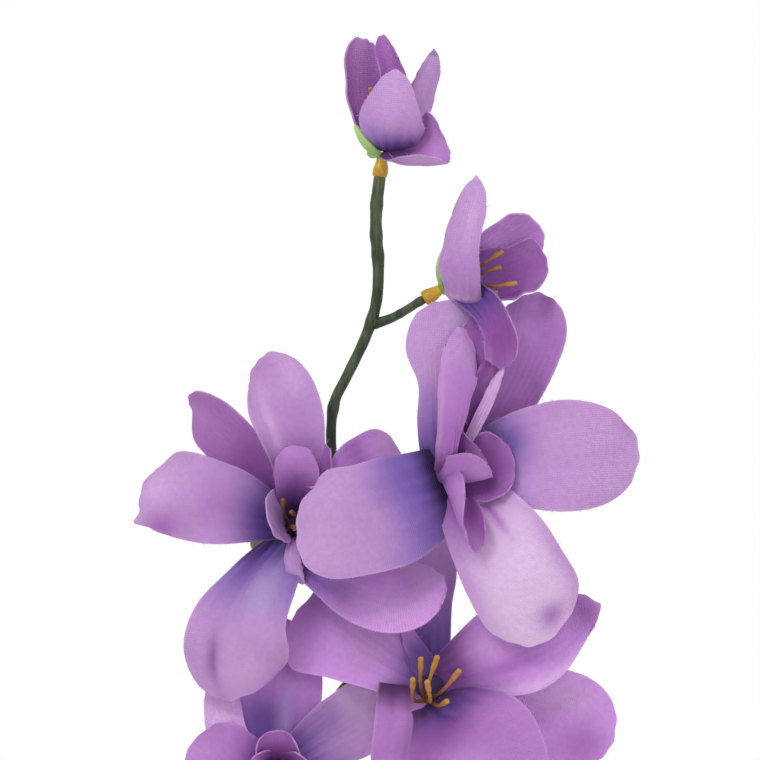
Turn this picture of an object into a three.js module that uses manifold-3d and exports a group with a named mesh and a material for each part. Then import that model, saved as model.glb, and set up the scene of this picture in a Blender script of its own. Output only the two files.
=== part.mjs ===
// An orchid stem with two buds and four blooms, standing in a clear glass vase.
// Millimetres, +Z up. The origin is the middle of the vase's foot, and the blooms look towards -Y.
import * as THREE from 'three';
import { mergeVertices } from 'three/addons/utils/BufferGeometryUtils.js';
import Module from 'manifold-3d';

const wasm = await Module();
wasm.setup();

// Driving dimensions
const GAP = 0.3;
const PETAL_THICKNESS = 0.8;
const LOBE_THICKNESS = 0.8;

// Outside of the vase as [height, radius] from its foot to its lip, and the heights of its rings of facets
const VASE = {
  outline: [[0, 31], [4, 33], [38, 35], [72, 28.5], [100, 16.5], [122, 13], [142, 13.6], [160, 17]],
  rings: [0, 1.5, 5, 20, 38, 58, 75, 90, 105, 122, 144, 160],
  wall: 3,
  floor: 10,
  floorRound: 2,
  segments: 32,
};
const FILL_TOP = 86;

// The main stem is slimmest at its bend, and slightly swollen where pieces of it were joined
const STEM = {
  foot: 14,
  straightTop: 120,
  wideBelow: 200,
  bend: 345,
  top: 405,
  footRadius: 1.9,
  bendRadius: 1.3,
  topRadius: 1.55,
  sides: 8,
  steps: 60,
  joints: [399, 391, 386, 370, 348, 325, 285, 240, 205, 175],
  jointRise: 0.22,
  jointLength: 1.8,
};
const STALK = { radius: 1.1, flare: 0.35, sides: 6, steps: 10 };
const HUB_FACETS = [10, 8];
const CALYX = { sides: 8, backShare: 0.6, lobeWidth: 3, lobeTaper: 0.25, lobeBend: 0.6 };
const COLLAR_SIDES = 10;
const STAMEN = { clumpRadius: 1.1, radius: 0.42, tipRise: 0.2, sides: 4, steps: 4 };

// How finely the blades are cut into facets, along and across
const PETAL_FACETS = [5, 4];
const SMALL_FACETS = [3, 4];
const LOBE_FACETS = [2, 2];

// Where the side edge of a blade turns into its tip edge, as a share of the half width
const TIP_CORNER = 0.72;
const BEND_SAMPLES = 10;

// Facets that lie this near to one plane are joined
const FLATNESS = 0.06;

const COLOURS = {
  petals: { color: '#b27cc6', roughness: 0.7, metalness: 0 },
  stamens: { color: '#b98a3a', roughness: 0.7, metalness: 0 },
  calyx: { color: '#9cbf5c', roughness: 0.6, metalness: 0 },
  collar: { color: '#c9a02c', roughness: 0.4, metalness: 0 },
  stem: { color: '#4c5a40', roughness: 0.55, metalness: 0 },
  glass: { color: '#e8f0f0', roughness: 0.05, metalness: 0 },
  fill: { color: '#eef4f5', roughness: 0.05, metalness: 0 },
};

// Flowers
// centre is the middle of the flower, and axis points from its stalk to its mouth.
// A petal's spine holds the middles of its root, of its length and of its tip, from that centre.
// Its width is across its belly, which lies that share of the way to the tip. base is the root's share of it.
// cup is the turn of each half at the root and at the tip, in degrees, and facing is where the inner face looks.
// left and right widen or narrow the two edges at even steps from root to tip.
const BUD_SIZE = { hub: 2.4, disc: 2.4, discThickness: 1.3, collarLength: 4.4, collarRadius: 2 };
const BLOOM_SIZE = { hub: 4, disc: 3, discThickness: 1.5, collarLength: 4.5, collarRadius: 2.1 };

const FLOWERS = {
  bud_top: {
    centre: [-2, 0, 414.5],
    axis: [0.12, 0, 1],
    size: BUD_SIZE,
    petals: {
      back_left: {
        spine: [[-1, 1, -0.5], [-5, 5, 10], [-5, 6, 27]], width: 13, base: 0.5, belly: 0.6, blunt: 2.8,
        facing: [0.35, -0.9, 0], cup: [70, 60],
      },
      back: {
        spine: [[0.5, 2, 0], [2.5, 9, 13], [-0.5, 9, 27.5]], width: 11, base: 0.6, belly: 0.45, blunt: 1.7,
        facing: [0, -1, 0], cup: [40, 40],
      },
      front: {
        spine: [[1.5, -1.5, -1], [1.4, -8.5, 5.5], [2.7, -6, 17.5]], width: 20, base: 0.75, belly: 0.4, blunt: 1.8,
        facing: [0, 1, 0], cup: [70, 70], left: [1, 1, 1, 0.86, 0.8], right: [1, 1, 1, 0.86, 0.8],
      },
      right: {
        spine: [[1.5, 2, -1], [9, 3, 9], [12.5, 1, 23]], width: 9, base: 0.5, belly: 0.5, blunt: 1.4,
        facing: [-0.5, 0.9, 0], cup: [45, 35],
      },
      low_right: {
        spine: [[0.5, -1, 0.2], [9.5, -2, -2.4], [17, -3, -0.3]], width: 17, base: 0.5, belly: 0.55, blunt: 3.2,
        facing: [-0.25, -0.8, 0.55], cup: [75, 50],
      },
    },
    lobes: [[-7.8, -2, 5.4], [3.5, 4.5, -0.6], [-2.5, 5, -0.6]],
    filaments: [[[-0.2, 0.5, 4.1], [-2, 1, 8], [-3.5, -1, 13.5]]],
  },
  bud_side: {
    centre: [15.5, -9, 379.5],
    axis: [0.86, 0, 0.5],
    size: BUD_SIZE,
    petals: {
      front: {
        spine: [[1.5, -5, -4.8], [1.5, -11, 8.5], [6.5, -7, 25.5]], width: 12, base: 0.7, belly: 0.3, blunt: 1.7,
        facing: [0.4, 0.9, 0], cup: [60, 50], left: [0.8, 1, 1, 1, 1],
      },
      back: {
        spine: [[0.5, 1, 1.5], [13, 6, 9.5], [22, 4, 14.5]], width: 15, base: 0.5, belly: 0.6, blunt: 3.4,
        facing: [-0.2, -1, -0.2], cup: [40, 60],
      },
      back_low: {
        spine: [[0, 0, -1], [12, 4, 2], [23, 1.5, 6]], width: 19.5, base: 0.5, belly: 0.6, blunt: 4,
        facing: [-0.2, -0.95, 0.2], cup: [60, 60],
      },
      hanging: {
        spine: [[2.2, -3, -2.5], [8, -12.5, -12.5], [11.5, -13.5, -21.5]], width: 12, base: 0.5, belly: 0.55, blunt: 2,
        facing: [-0.1, -1, 0.2], cup: [70, 60],
      },
    },
    lobes: [[-8.5, 1, 5.3], [3.5, 2.5, -0.5], [-2, 5, 2]],
    filaments: [
      [[3.4, -1.4, 0.9], [7, -3, 4], [12, -2, 7.5]],
      [[3.4, -1.4, 0.9], [7, -3.5, 2], [11.5, -3, 3.5]],
      [[3.4, -1.4, 0.9], [8, -3, -1], [15.5, -2, -0.5]],
      [[3.4, -1.4, 0.9], [7, -3, -2], [10.5, -5, -3]],
    ],
  },
  bloom_left: {
    centre: [-24.5, -6, 318],
    axis: [-0.05, -1, 0.05],
    size: BLOOM_SIZE,
    petals: {
      top: {
        spine: [[1, -1, 3], [-1.5, -4, 26], [-6, 1, 43.5]], width: 19.5, base: 0.35, belly: 0.6, blunt: 2,
        facing: [0, -1, 0], cup: [30, -15], crease: [0.5, 22],
        left: [1, 0.72, 0.9, 0.9, 0.7], right: [1, 1, 0.98, 0.98, 0.9],
      },
      high_left: {
        spine: [[-2, 1, 3], [-15.5, 0, 22], [-26, 6, 32]], width: 14, base: 0.45, belly: 0.55, blunt: 4.5,
        facing: [0.2, -0.7, -0.6], cup: [20, 30],
      },
      left: {
        spine: [[-2.5, -1, 1.5], [-22, -11, 7.5], [-39, -8, 7]], width: 24.5, base: 0.35, belly: 0.58, blunt: 2.8,
        facing: [0, -1, 0.35], cup: [30, -60], ripple: 0.6,
        left: [1, 1, 0.95, 0.8, 0.72], right: [1, 0.8, 0.85, 1.22, 1.1],
      },
      low_left: {
        spine: [[-1.5, -2, -3], [-13, -16, -21], [-13, -11, -41.5]], width: 27.5, base: 0.55, belly: 0.62,
        blunt: 3.6, facing: [-0.3, -0.8, 0.6], facingTip: [0, -1, 0.1], cup: [20, -50], ripple: 0.8,
        left: [1, 0.9, 0.9, 1.15, 1.2], right: [1.1, 0.9, 0.9, 1, 0.95],
      },
      low_right: {
        spine: [[2, -2, -3], [20.5, -15, -15], [37.5, -13, -10]], width: 25, base: 0.55, belly: 0.6, blunt: 2.5,
        facing: [0, -0.8, 0.6], cup: [30, -30], right: [1, 0.85, 0.95, 1, 0.85],
      },
      high_right: {
        spine: [[2.5, 0, 3], [16, -3, 10], [28, -1, 16]], width: 22, base: 0.4, belly: 0.62, blunt: 2.8,
        facing: [0, -1, 0], cup: [20, 20], left: [0.7, 0.7, 1.02, 1.05, 1.1],
      },
    },
    inner: {
      top: {
        spine: [[1, -1.5, 2.5], [1, -8, 12], [-0.5, -7, 20.5]], width: 11.5, base: 0.7, belly: 0.5, blunt: 2.6,
        facing: [0, -1, 0], cup: [50, 10],
      },
      left: {
        spine: [[-2, -1.5, 1], [-4, -9, 3], [-6.5, -14, 4.5]], width: 14, base: 0.6, belly: 0.5, blunt: 2,
        facing: [1, -0.6, 0.35], cup: [50, 0],
      },
      low: {
        spine: [[0.5, -2, -2], [-1, -12, -6.5], [2.5, -13, -13.5]], width: 5.5, base: 0.5, belly: 0.45, blunt: 1.6,
        facing: [-0.4, -0.9, 0], cup: [-60, -60],
      },
      right: {
        spine: [[2.5, -1.5, 0], [6, -8, 0], [9, -12, -2.5]], width: 11, base: 0.6, belly: 0.5, blunt: 2.4,
        facing: [-1, -0.6, 0.1], cup: [60, 30],
      },
      high_right: {
        spine: [[2.5, 0, 3], [6, -4, 12.5], [7, -4, 21]], width: 8, base: 0.6, belly: 0.5, blunt: 3,
        facing: [-0.4, -1, 0], cup: [40, 40],
      },
    },
    lobes: [[-11, -4, 3], [-5, 9, 2], [5, 9, 2], [9, -4, 2], [0, -10, 2]],
    filaments: [
      [[0, -5.5, 0.5], [-2, -9, 4], [-2.5, -12, 7.5]],
      [[0, -5.5, 0], [-0.5, -9.5, 1], [0.5, -13, 0.5]],
      [[0, -5.5, 0], [1, -9, 3], [-0.5, -12.5, 4.5]],
    ],
  },
  bloom_right: {
    centre: [14.5, -16, 331.5],
    axis: [0.15, -1, 0.1],
    size: BLOOM_SIZE,
    petals: {
      left: {
        spine: [[1, -0.5, -3], [-20.5, -18, -10], [-38, -17, -12]], width: 27.5, base: 0.8, belly: 0.45,
        blunt: 4.5, facing: [0.2, -1, 0.15], cup: [0, -25],
        left: [0.7, 1, 1, 1, 1], right: [1, 1, 0.98, 0.98, 0.95],
      },
      top: {
        spine: [[-1.5, -1, 1.5], [-2.5, -4, 22.5], [-2, 5, 42.8]], width: 18.5, base: 0.5, belly: 0.72, blunt: 3.4,
        facing: [-0.1, -1, 0], cup: [-60, -20],
        left: [1.3, 0.95, 0.68, 0.98, 0.95], right: [1, 0.8, 0.72, 0.8, 0.8],
      },
      high_right: {
        spine: [[2, 1, 2.5], [17, 8, 25], [22, 12, 45.5]], width: 19, base: 0.5, belly: 0.62, blunt: 2.8,
        facing: [-0.1, -1, 0], cup: [20, 30], right: [1, 0.9, 0.9, 1, 1],
      },
      right: {
        spine: [[3, 0, 1.5], [25.5, -5, 5], [46.5, 1, 6]], width: 29, base: 0.45, belly: 0.56, blunt: 2.2,
        facing: [-0.15, -1, 0.2], cup: [30, -25], left: [1, 0.95, 0.95, 0.95, 1],
      },
      low_right: {
        spine: [[2, -2, -3], [13.5, -14, -22], [19.5, -11, -41.5]], width: 28.5, base: 0.5, belly: 0.6,
        blunt: 2.7, facing: [-0.1, -1, 0.3], facingTip: [0, -1, 0.1], cup: [20, -45],
        left: [1, 1, 1, 1.15, 1.2], right: [1, 0.9, 0.85, 0.8, 0.85],
      },
    },
    inner: {
      bowl: {
        spine: [[-0.5, -3, -1], [7, -12, 0.8], [1.7, -9, 12.3]], width: 14, base: 1, belly: 0.35, blunt: 1.6,
        facing: [-0.5, 0.8, 0.3], cup: [60, 60],
      },
      crescent: {
        spine: [[1, -2, 0], [8.5, -6.5, 1.5], [15.7, -7.5, 3]], width: 18.5, base: 0.6, belly: 0.5, blunt: 2.3,
        facing: [-0.4, -0.9, 0.2], cup: [60, 60],
      },
      low: {
        spine: [[-1, -2.5, -2], [2.7, -14, -8.5], [6.7, -17, -18.4]], width: 12, base: 0.7, belly: 0.45, blunt: 2,
        facing: [0.1, -1, 0.2], cup: [-80, -60],
      },
      strip: {
        spine: [[-0.5, -3, 1], [1, -8, 16], [2, -1.5, 33.5]], width: 12, base: 0.8, belly: 0.5, blunt: 3,
        facing: [0.2, -1, 0], cup: [-90, -70], right: [0.6, 0.7, 1, 1, 1],
      },
      fold: {
        spine: [[0.5, -2, 3], [4.5, -4.5, 21], [6.5, 1, 33]], width: 8, base: 0.5, belly: 0.6, blunt: 2,
        facing: [0.2, -1, 0], cup: [30, 20],
      },
      slot: {
        spine: [[1.5, -1, 2.5], [5.5, -4, 16], [10.5, -2, 27.5]], width: 9, base: 0.6, belly: 0.55, blunt: 2.6,
        facing: [-0.1, -1, 0], cup: [40, 40],
      },
    },
    lobes: [[-9, 3, 3], [-4, 9, 3], [6, 8, 3], [8, -5, 3], [-4, -9, 3]],
    filaments: [
      [[1.6, -5, 1.7], [2.1, -6.3, 2.4], [2.7, -7.6, 3.1]],
      [[1.6, -5, 1.7], [2.3, -6.4, 1.8], [3, -7.8, 2]],
    ],
  },
  bloom_front: {
    centre: [9.5, -18, 278.5],
    axis: [-0.1, -1, 0],
    size: BLOOM_SIZE,
    petals: {
      left: {
        spine: [[-2, -0.5, 2], [-18.5, 5, 11.5], [-33.5, 9, 19.5]], width: 25, base: 0.5, belly: 0.55, blunt: 4.5,
        facing: [0.1, -1, 0.2], cup: [20, -30], left: [1, 0.85, 0.9, 1.08, 0.95],
      },
      top: {
        spine: [[0.5, 0, 2.5], [-1.5, 8, 20.5], [2.5, 11, 38]], width: 15, base: 0.6, belly: 0.6, blunt: 2.4,
        facing: [0, -1, 0], cup: [30, 20], right: [1, 1, 0.95, 1, 1],
      },
      right: {
        spine: [[2, 0, 2.5], [21, -4, 10], [41, 1, 21.5]], width: 24, base: 0.45, belly: 0.55, blunt: 1.9,
        facing: [-0.1, -1, 0.2], cup: [30, -50],
        left: [1.4, 1.25, 1.05, 1, 1], right: [0.9, 0.8, 0.82, 0.8, 0.7],
      },
      low_right: {
        spine: [[2.5, 1, -2], [26.5, 2, -6.5], [45, 7, -13.5]], width: 25.5, base: 0.5, belly: 0.6, blunt: 2.6,
        facing: [0, -1, 0], cup: [20, -20],
      },
      low: {
        spine: [[0.5, -1.5, -2], [12.5, -16, -15], [17, -13, -35.5]], width: 31, base: 0.7, belly: 0.5, blunt: 2.8,
        facing: [0, -0.9, 0.5], facingTip: [0, -1, 0], cup: [20, -40],
      },
      low_left: {
        spine: [[-2, 0, 1], [-3, -8, -17], [-7, -4, -36]], width: 24, base: 0.9, belly: 0.4, blunt: 2.8,
        facing: [0, -0.9, 0.4], facingTip: [0, -1, 0], cup: [20, -40],
      },
    },
    lobes: [[-9, -4, 1], [-5, 8, -1], [5, 8, -1], [9, -4, 0], [0, -10, 1]],
    filaments: [
      [[-0.8, -5, -2.1], [-4, -9, -2], [-4.5, -15, 3.5]],
      [[-0.8, -5, -2.1], [-2.5, -9, 1], [-2.5, -15, 8.5]],
      [[-0.8, -5, -2.1], [-0.5, -11, 2], [1.5, -17, 9]],
      [[-0.8, -5, -2.1], [2.5, -9, 0], [7, -14, 5.5]],
      [[-0.8, -5, -2.1], [0, -12, -2], [-1, -19, 3]],
      [[-0.8, -5, -2.1], [1.5, -10, -3.5], [4, -15, -2]],
    ],
  },
  bloom_low: {
    centre: [-28, -10, 259],
    axis: [0, -1, 0.05],
    size: BLOOM_SIZE,
    petals: {
      high_left: {
        spine: [[-1.5, 0.5, 1.5], [-10.5, -1, 9], [-15, 4, 22.5]], width: 12, base: 0.7, belly: 0.5, blunt: 2.6,
        facing: [0, -1, 0.2], cup: [20, -30],
      },
      top: {
        spine: [[0, 0.5, 2], [1, 2, 19], [3, 7, 36]], width: 19.5, base: 0.6, belly: 0.5, blunt: 2.4,
        facing: [0, -1, 0], cup: [30, 0],
      },
      right: {
        spine: [[2, 0, 0.5], [16.5, -2, 10], [28, 2, 16]], width: 18, base: 0.5, belly: 0.6, blunt: 2.6,
        facing: [0, -1, 0], cup: [20, 20],
      },
      left: {
        spine: [[-2.5, -1, -1], [-13, -8, 1.5], [-23, -5, 3]], width: 21, base: 0.5, belly: 0.6, blunt: 2.6,
        facing: [0, -1, 0.3], cup: [20, -40],
      },
      low_left: {
        spine: [[-1, -1.5, -2.5], [-8, -12, -18.5], [-16, -7, -31.5]], width: 25, base: 0.6, belly: 0.6, blunt: 2.8,
        facing: [0, -0.9, 0.4], cup: [20, -40],
      },
      low_right: {
        spine: [[2, -1, -2.5], [10.5, -11, -16], [17.5, -7, -34]], width: 27, base: 0.5, belly: 0.6, blunt: 2.6,
        facing: [0, -0.9, 0.4], cup: [20, -30],
      },
    },
    inner: {
      top: {
        spine: [[-0.5, -2, 1], [-0.5, -8, 5], [-0.5, -12, 9.5]], width: 13, base: 0.8, belly: 0.5, blunt: 2.6,
        facing: [0, -0.6, -0.8], cup: [60, 60],
      },
      left: {
        spine: [[-2, -2, -1], [-5, -10, -0.5], [-7, -15, 0.5]], width: 12, base: 0.7, belly: 0.5, blunt: 2.6,
        facing: [1, -0.5, 0.1], cup: [60, 60],
      },
      right: {
        spine: [[2, -2, -1], [5.5, -10, -1], [7.5, -15, 0]], width: 12, base: 0.7, belly: 0.5, blunt: 2.6,
        facing: [-1, -0.5, 0.1], cup: [60, 60],
      },
    },
    lobes: [[-9, -4, 3], [-5, 9, 3], [5, 9, 3], [9, -4, 3], [0, -10, 3]],
    filaments: [
      [[0, -5.5, -1], [-1, -9, -1], [-2, -13, 1]],
      [[0, -5.5, -1], [1, -9, -1], [1.5, -13, 0]],
      [[0, -5.5, -1], [0, -9, -2.5], [0, -13, -4]],
    ],
  },
};

// Routes of the main stem from its top end down, and of the stalks from the main stem to each flower
const STEM_ROUTE = [
  [-3.8, 0, 399.5], [-4, 0, 392.5], [-3.4, 0, 383], [-4, 0, 374], [-6.5, 0, 366], [-11.5, 0, 355.5],
  [-14.2, 0, 350], [-15.2, 0, 343], [-14.7, 0, 332], [-12.5, 0, 318], [-7.5, 0, 295], [-3, 0, 280],
  [-0.5, 0, 265], [0.4, 0, 248], [0.2, 0, 225], [0, 0, 195], [0, 0, 150], [0, 0, 80],
];
const STALK_ROUTES = {
  bud_side: [[-4.4, 0, 369], [0, -3, 370.5], [4, -6.5, 372.7]],
  bloom_left: [[-12, 0, 311], [-17, 6, 314], [-22, 10.5, 317]],
  bloom_right: [[-14.5, 0, 328], [-4, 4, 327], [9, 3, 330]],
  bloom_front: [[-4.5, 0, 285], [0, 1.5, 280], [7, 0, 278.5]],
  bloom_low: [[-3.5, 0, 281.5], [-12, 2, 278.5], [-22, 8, 268]],
};

function vector(triple) {
  return new THREE.Vector3(...triple);
}

// Solids: a closed geometry becomes a solid for joining and cutting, and the result a geometry again
function toSolid(geometry) {
  const bare = geometry.clone();
  bare.deleteAttribute('normal');
  bare.deleteAttribute('uv');
  const merged = mergeVertices(bare, 1e-4);
  return new wasm.Manifold(new wasm.Mesh({
    numProp: 3,
    vertProperties: new Float32Array(merged.attributes.position.array),
    triVerts: new Uint32Array(merged.index.array),
  }));
}

function toGeometry(solid) {
  const mesh = solid.getMesh();
  const geometry = new THREE.BufferGeometry();
  geometry.setAttribute('position', new THREE.BufferAttribute(new Float32Array(mesh.vertProperties), 3));
  geometry.setIndex(new THREE.BufferAttribute(new Uint32Array(mesh.triVerts), 1));
  geometry.computeVertexNormals();
  return geometry;
}

// One solid from several that overlap, without the scraps and sealed hollows that joining can leave
function fuse(geometries) {
  const joined = wasm.Manifold.union(geometries.map(toSolid)).simplify(FLATNESS);
  const bodies = joined.decompose();
  return bodies.reduce((largest, body) => (body.volume() > largest.volume() ? body : largest));
}

// Blades: petals and the lobes behind them
// The curve through three points at t = 0, 0.5 and 1, and its direction
function spinePoint([root, middle, tip], t) {
  return vector(root).multiplyScalar((2 * t - 1) * (t - 1))
    .addScaledVector(vector(middle), 4 * t * (1 - t))
    .addScaledVector(vector(tip), t * (2 * t - 1));
}

function spineDirection([root, middle, tip], t) {
  return vector(root).multiplyScalar(4 * t - 3)
    .addScaledVector(vector(middle), 4 - 8 * t)
    .addScaledVector(vector(tip), 4 * t - 1)
    .normalize();
}

// A smooth run through values at even steps of t
function smoothRun(values, t) {
  const last = values.length - 1;
  const place = THREE.MathUtils.clamp(t, 0, 1) * last;
  const i = Math.min(Math.floor(place), last - 1);
  const f = place - i;
  const a = values[Math.max(i - 1, 0)];
  const b = values[i];
  const c = values[i + 1];
  const d = values[Math.min(i + 2, last)];
  return 0.5 * (2 * b + (c - a) * f + (2 * a - 5 * b + 4 * c - d) * f ** 2 + (3 * b - a - 3 * c + d) * f ** 3);
}

// The blade's half width at t, as a share of its widest
function widthShare(blade, t) {
  const rise = Math.sin((Math.PI / 2) * Math.min(t / blade.belly, 1));
  const past = Math.max((t - blade.belly) / (1 - blade.belly), 0);
  return (blade.base + (1 - blade.base) * rise) * Math.sqrt(Math.max(1 - past ** blade.blunt, 0));
}

// How far along the blade its tip edge lies, at a share of the half width
function tipPlace(blade, share) {
  return blade.belly + (1 - blade.belly) * (1 - share * share) ** (1 / blade.blunt);
}

// How far across and up a point of the bent section lies, for a point at x from the midrib, -1 to 1
function bentSection(blade, t, x) {
  const cup = THREE.MathUtils.degToRad(THREE.MathUtils.lerp(blade.cup[0], blade.cup[1], t));
  let across = 0;
  let up = 0;
  for (let i = 0; i < BEND_SAMPLES; i += 1) {
    const ratio = (x * (i + 0.5)) / BEND_SAMPLES;
    let angle = cup * ratio;
    if (blade.crease) {
      const [place, turn] = blade.crease;
      const ramp = THREE.MathUtils.smoothstep(((ratio - place) / 0.12) * Math.sign(place) + 0.5, 0, 1);
      angle += THREE.MathUtils.degToRad(turn) * ramp;
    }
    across += Math.cos(angle);
    up += Math.sin(angle);
  }
  const length = (x * blade.width) / 2 / BEND_SAMPLES;
  return [across * length, up * length];
}

// A point of the blade's middle surface: s runs from root to tip, v from the right edge (-1) to the left (1)
function bladePoint(blade, s, v) {
  const t = s * tipPlace(blade, v * TIP_CORNER);
  const row = s * tipPlace(blade, TIP_CORNER);
  const edge = v > 0 ? blade.left : blade.right;
  const x = v * widthShare(blade, row) * (edge ? smoothRun(edge, row) : 1);
  const direction = spineDirection(blade.spine, t);
  const facing = vector(blade.facing).normalize();
  if (blade.facingTip) {
    facing.lerp(vector(blade.facingTip).normalize(), t);
  }
  const side = facing.cross(direction).normalize();
  const inward = direction.clone().cross(side);
  const [across, up] = bentSection(blade, t, x);
  const ripple = (blade.ripple || 0) * x * x * Math.sin(3 * Math.PI * t + (x > 0 ? 0 : 2.1));
  return spinePoint(blade.spine, t).addScaledVector(side, across).addScaledVector(inward, up + ripple);
}

// A closed blade: the middle surface moved out to both sides by half the thickness
function bladeGeometry(blade, [rows, columns], thickness) {
  const positions = [];
  for (const face of [1, -1]) {
    for (let i = 0; i <= rows; i += 1) {
      for (let j = 0; j <= columns; j += 1) {
        const s = i / rows;
        const v = (2 * j) / columns - 1;
        const step = 0.01;
        const low = Math.max(s - step, 0);
        const high = Math.min(s + step, 1);
        const right = Math.max(v - step, -1);
        const left = Math.min(v + step, 1);
        const along = bladePoint(blade, high, v).sub(bladePoint(blade, low, v));
        const across = bladePoint(blade, s, left).sub(bladePoint(blade, s, right));
        const normal = along.cross(across).normalize();
        const point = bladePoint(blade, s, v).addScaledVector(normal, (face * thickness) / 2);
        positions.push(point.x, point.y, point.z);
      }
    }
  }
  const stride = columns + 1;
  const under = (rows + 1) * stride;
  const index = [];
  for (let i = 0; i < rows; i += 1) {
    for (let j = 0; j < columns; j += 1) {
      const a = i * stride + j;
      const b = a + 1;
      const c = a + stride;
      const d = c + 1;
      index.push(a, c, b, b, c, d);
      index.push(a + under, b + under, c + under, b + under, d + under, c + under);
    }
  }
  const along = Array.from({ length: rows }, (_, i) => i);
  const across = Array.from({ length: columns }, (_, j) => j);
  const rim = [
    ...across,
    ...along.map((i) => i * stride + columns),
    ...across.map((j) => rows * stride + columns - j),
    ...along.map((i) => (rows - i) * stride),
  ];
  rim.forEach((a, place) => {
    const b = rim[(place + 1) % rim.length];
    index.push(a, b, a + under, b, b + under, a + under);
  });
  const geometry = new THREE.BufferGeometry();
  geometry.setAttribute('position', new THREE.Float32BufferAttribute(positions, 3));
  geometry.setIndex(index);
  return geometry;
}

// A round rod along a smooth curve, closed at both ends, whose radius may change on the way
function rodGeometry(points, radiusAt, sides, steps) {
  const curve = new THREE.CatmullRomCurve3(points.map(vector), false, 'centripetal');
  const frames = curve.computeFrenetFrames(steps, false);
  const positions = [];
  for (let i = 0; i <= steps; i += 1) {
    const middle = curve.getPointAt(i / steps);
    const radius = radiusAt(i / steps, middle);
    for (let j = 0; j < sides; j += 1) {
      const turn = (2 * Math.PI * j) / sides;
      const point = middle.clone()
        .addScaledVector(frames.normals[i], radius * Math.cos(turn))
        .addScaledVector(frames.binormals[i], radius * Math.sin(turn));
      positions.push(point.x, point.y, point.z);
    }
  }
  const index = [];
  for (let i = 0; i < steps; i += 1) {
    for (let j = 0; j < sides; j += 1) {
      const a = i * sides + j;
      const b = i * sides + ((j + 1) % sides);
      index.push(a, b, a + sides, b, b + sides, a + sides);
    }
  }
  const end = steps * sides;
  for (let j = 1; j < sides - 1; j += 1) {
    index.push(0, j + 1, j);
    index.push(end, end + j, end + j + 1);
  }
  const geometry = new THREE.BufferGeometry();
  geometry.setAttribute('position', new THREE.Float32BufferAttribute(positions, 3));
  geometry.setIndex(index);
  return geometry;
}

// A solid of revolution about Z from a list of [radius, height]
function turnedGeometry(profile, segments) {
  const points = profile.map(([radius, height]) => new THREE.Vector2(radius, height));
  return new THREE.LatheGeometry(points, segments).rotateX(Math.PI / 2);
}

// Vase and its fill
// The vase's outer radius, on one smooth curve through its outline
function vaseRadius(height) {
  const stations = VASE.outline.map(([station]) => station);
  const radii = VASE.outline.map(([, radius]) => radius);
  const i = Math.max(stations.findIndex((station) => height <= station), 1);
  const slope = (k) => {
    const before = Math.max(k - 1, 0);
    const after = Math.min(k + 1, stations.length - 1);
    return (radii[after] - radii[before]) / (stations[after] - stations[before]);
  };
  const span = stations[i] - stations[i - 1];
  const t = (height - stations[i - 1]) / span;
  const rise = t * t * (3 - 2 * t);
  return THREE.MathUtils.lerp(radii[i - 1], radii[i], rise)
    + span * (t * (1 - t) ** 2 * slope(i - 1) - t * t * (1 - t) * slope(i));
}

// The inside of the vase from the middle of its floor up, drawn in from the wall by the inset and up by the rise
function innerProfile(inset, rise, top) {
  const { floor, floorRound, rings, wall } = VASE;
  const floorRadius = vaseRadius(floor) - wall - inset;
  const heights = [...rings.filter((height) => height > floor + floorRound && height < top), top];
  return [
    [0, floor + rise],
    [floorRadius - 2 * floorRound, floor + rise],
    [floorRadius - floorRound / 2, floor + floorRound + rise],
    ...heights.map((height) => [vaseRadius(height) - wall - inset, height]),
  ];
}

function vaseGeometry() {
  const outside = VASE.rings.map((height) => [vaseRadius(height), height]);
  const inside = innerProfile(0, 0, VASE.rings.at(-1)).reverse();
  return turnedGeometry([[0, 0], ...outside, ...inside], VASE.segments);
}

// The fill's facets stand a little further in than the gap, so that it stays clear between the rings too
function fillSolid() {
  const profile = [...innerProfile(1.3 * GAP, GAP, FILL_TOP), [0, FILL_TOP]];
  const hole = [[0, 0, STEM.foot - GAP], [0, 0, FILL_TOP / 2], [0, 0, FILL_TOP + 5]];
  const body = toSolid(turnedGeometry(profile, VASE.segments));
  return body.subtract(toSolid(rodGeometry(hole, () => STEM.footRadius + 2 * GAP, 2 * STEM.sides, 4)));
}

// Main stem with its stalks
function swelling(height) {
  const rises = STEM.joints.map((joint) => Math.exp(-(((height - joint) / STEM.jointLength) ** 2)));
  return STEM.jointRise * rises.reduce((sum, rise) => sum + rise, 0);
}

function stemRadius(t, middle) {
  const plain = middle.z > STEM.bend
    ? THREE.MathUtils.mapLinear(middle.z, STEM.bend, STEM.top, STEM.bendRadius, STEM.topRadius)
    : THREE.MathUtils.mapLinear(middle.z, STEM.bend, STEM.wideBelow, STEM.bendRadius, STEM.footRadius);
  return Math.min(plain, STEM.footRadius) + (middle.z > STEM.straightTop ? swelling(middle.z) : 0);
}

// Distance from a flower's centre back to the end of its stalk
function stalkEnd({ size }) {
  return size.hub + size.discThickness + size.collarLength + 3 * GAP;
}

function stalkTip(flower, extra) {
  return vector(flower.centre).addScaledVector(vector(flower.axis).normalize(), -stalkEnd(flower) - extra);
}

function stemSolid() {
  const top = [0, 2].map((back) => stalkTip(FLOWERS.bud_top, back).toArray());
  const rods = [rodGeometry([...top, ...STEM_ROUTE, [0, 0, STEM.foot]], stemRadius, STEM.sides, STEM.steps)];
  for (const [name, route] of Object.entries(STALK_ROUTES)) {
    const flower = FLOWERS[name];
    const points = [...route, stalkTip(flower, 2).toArray(), stalkTip(flower, 0).toArray()];
    rods.push(rodGeometry(points, (t) => STALK.radius + STALK.flare * (1 - t) ** 4, STALK.sides, STALK.steps));
  }
  return fuse(rods);
}

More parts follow.
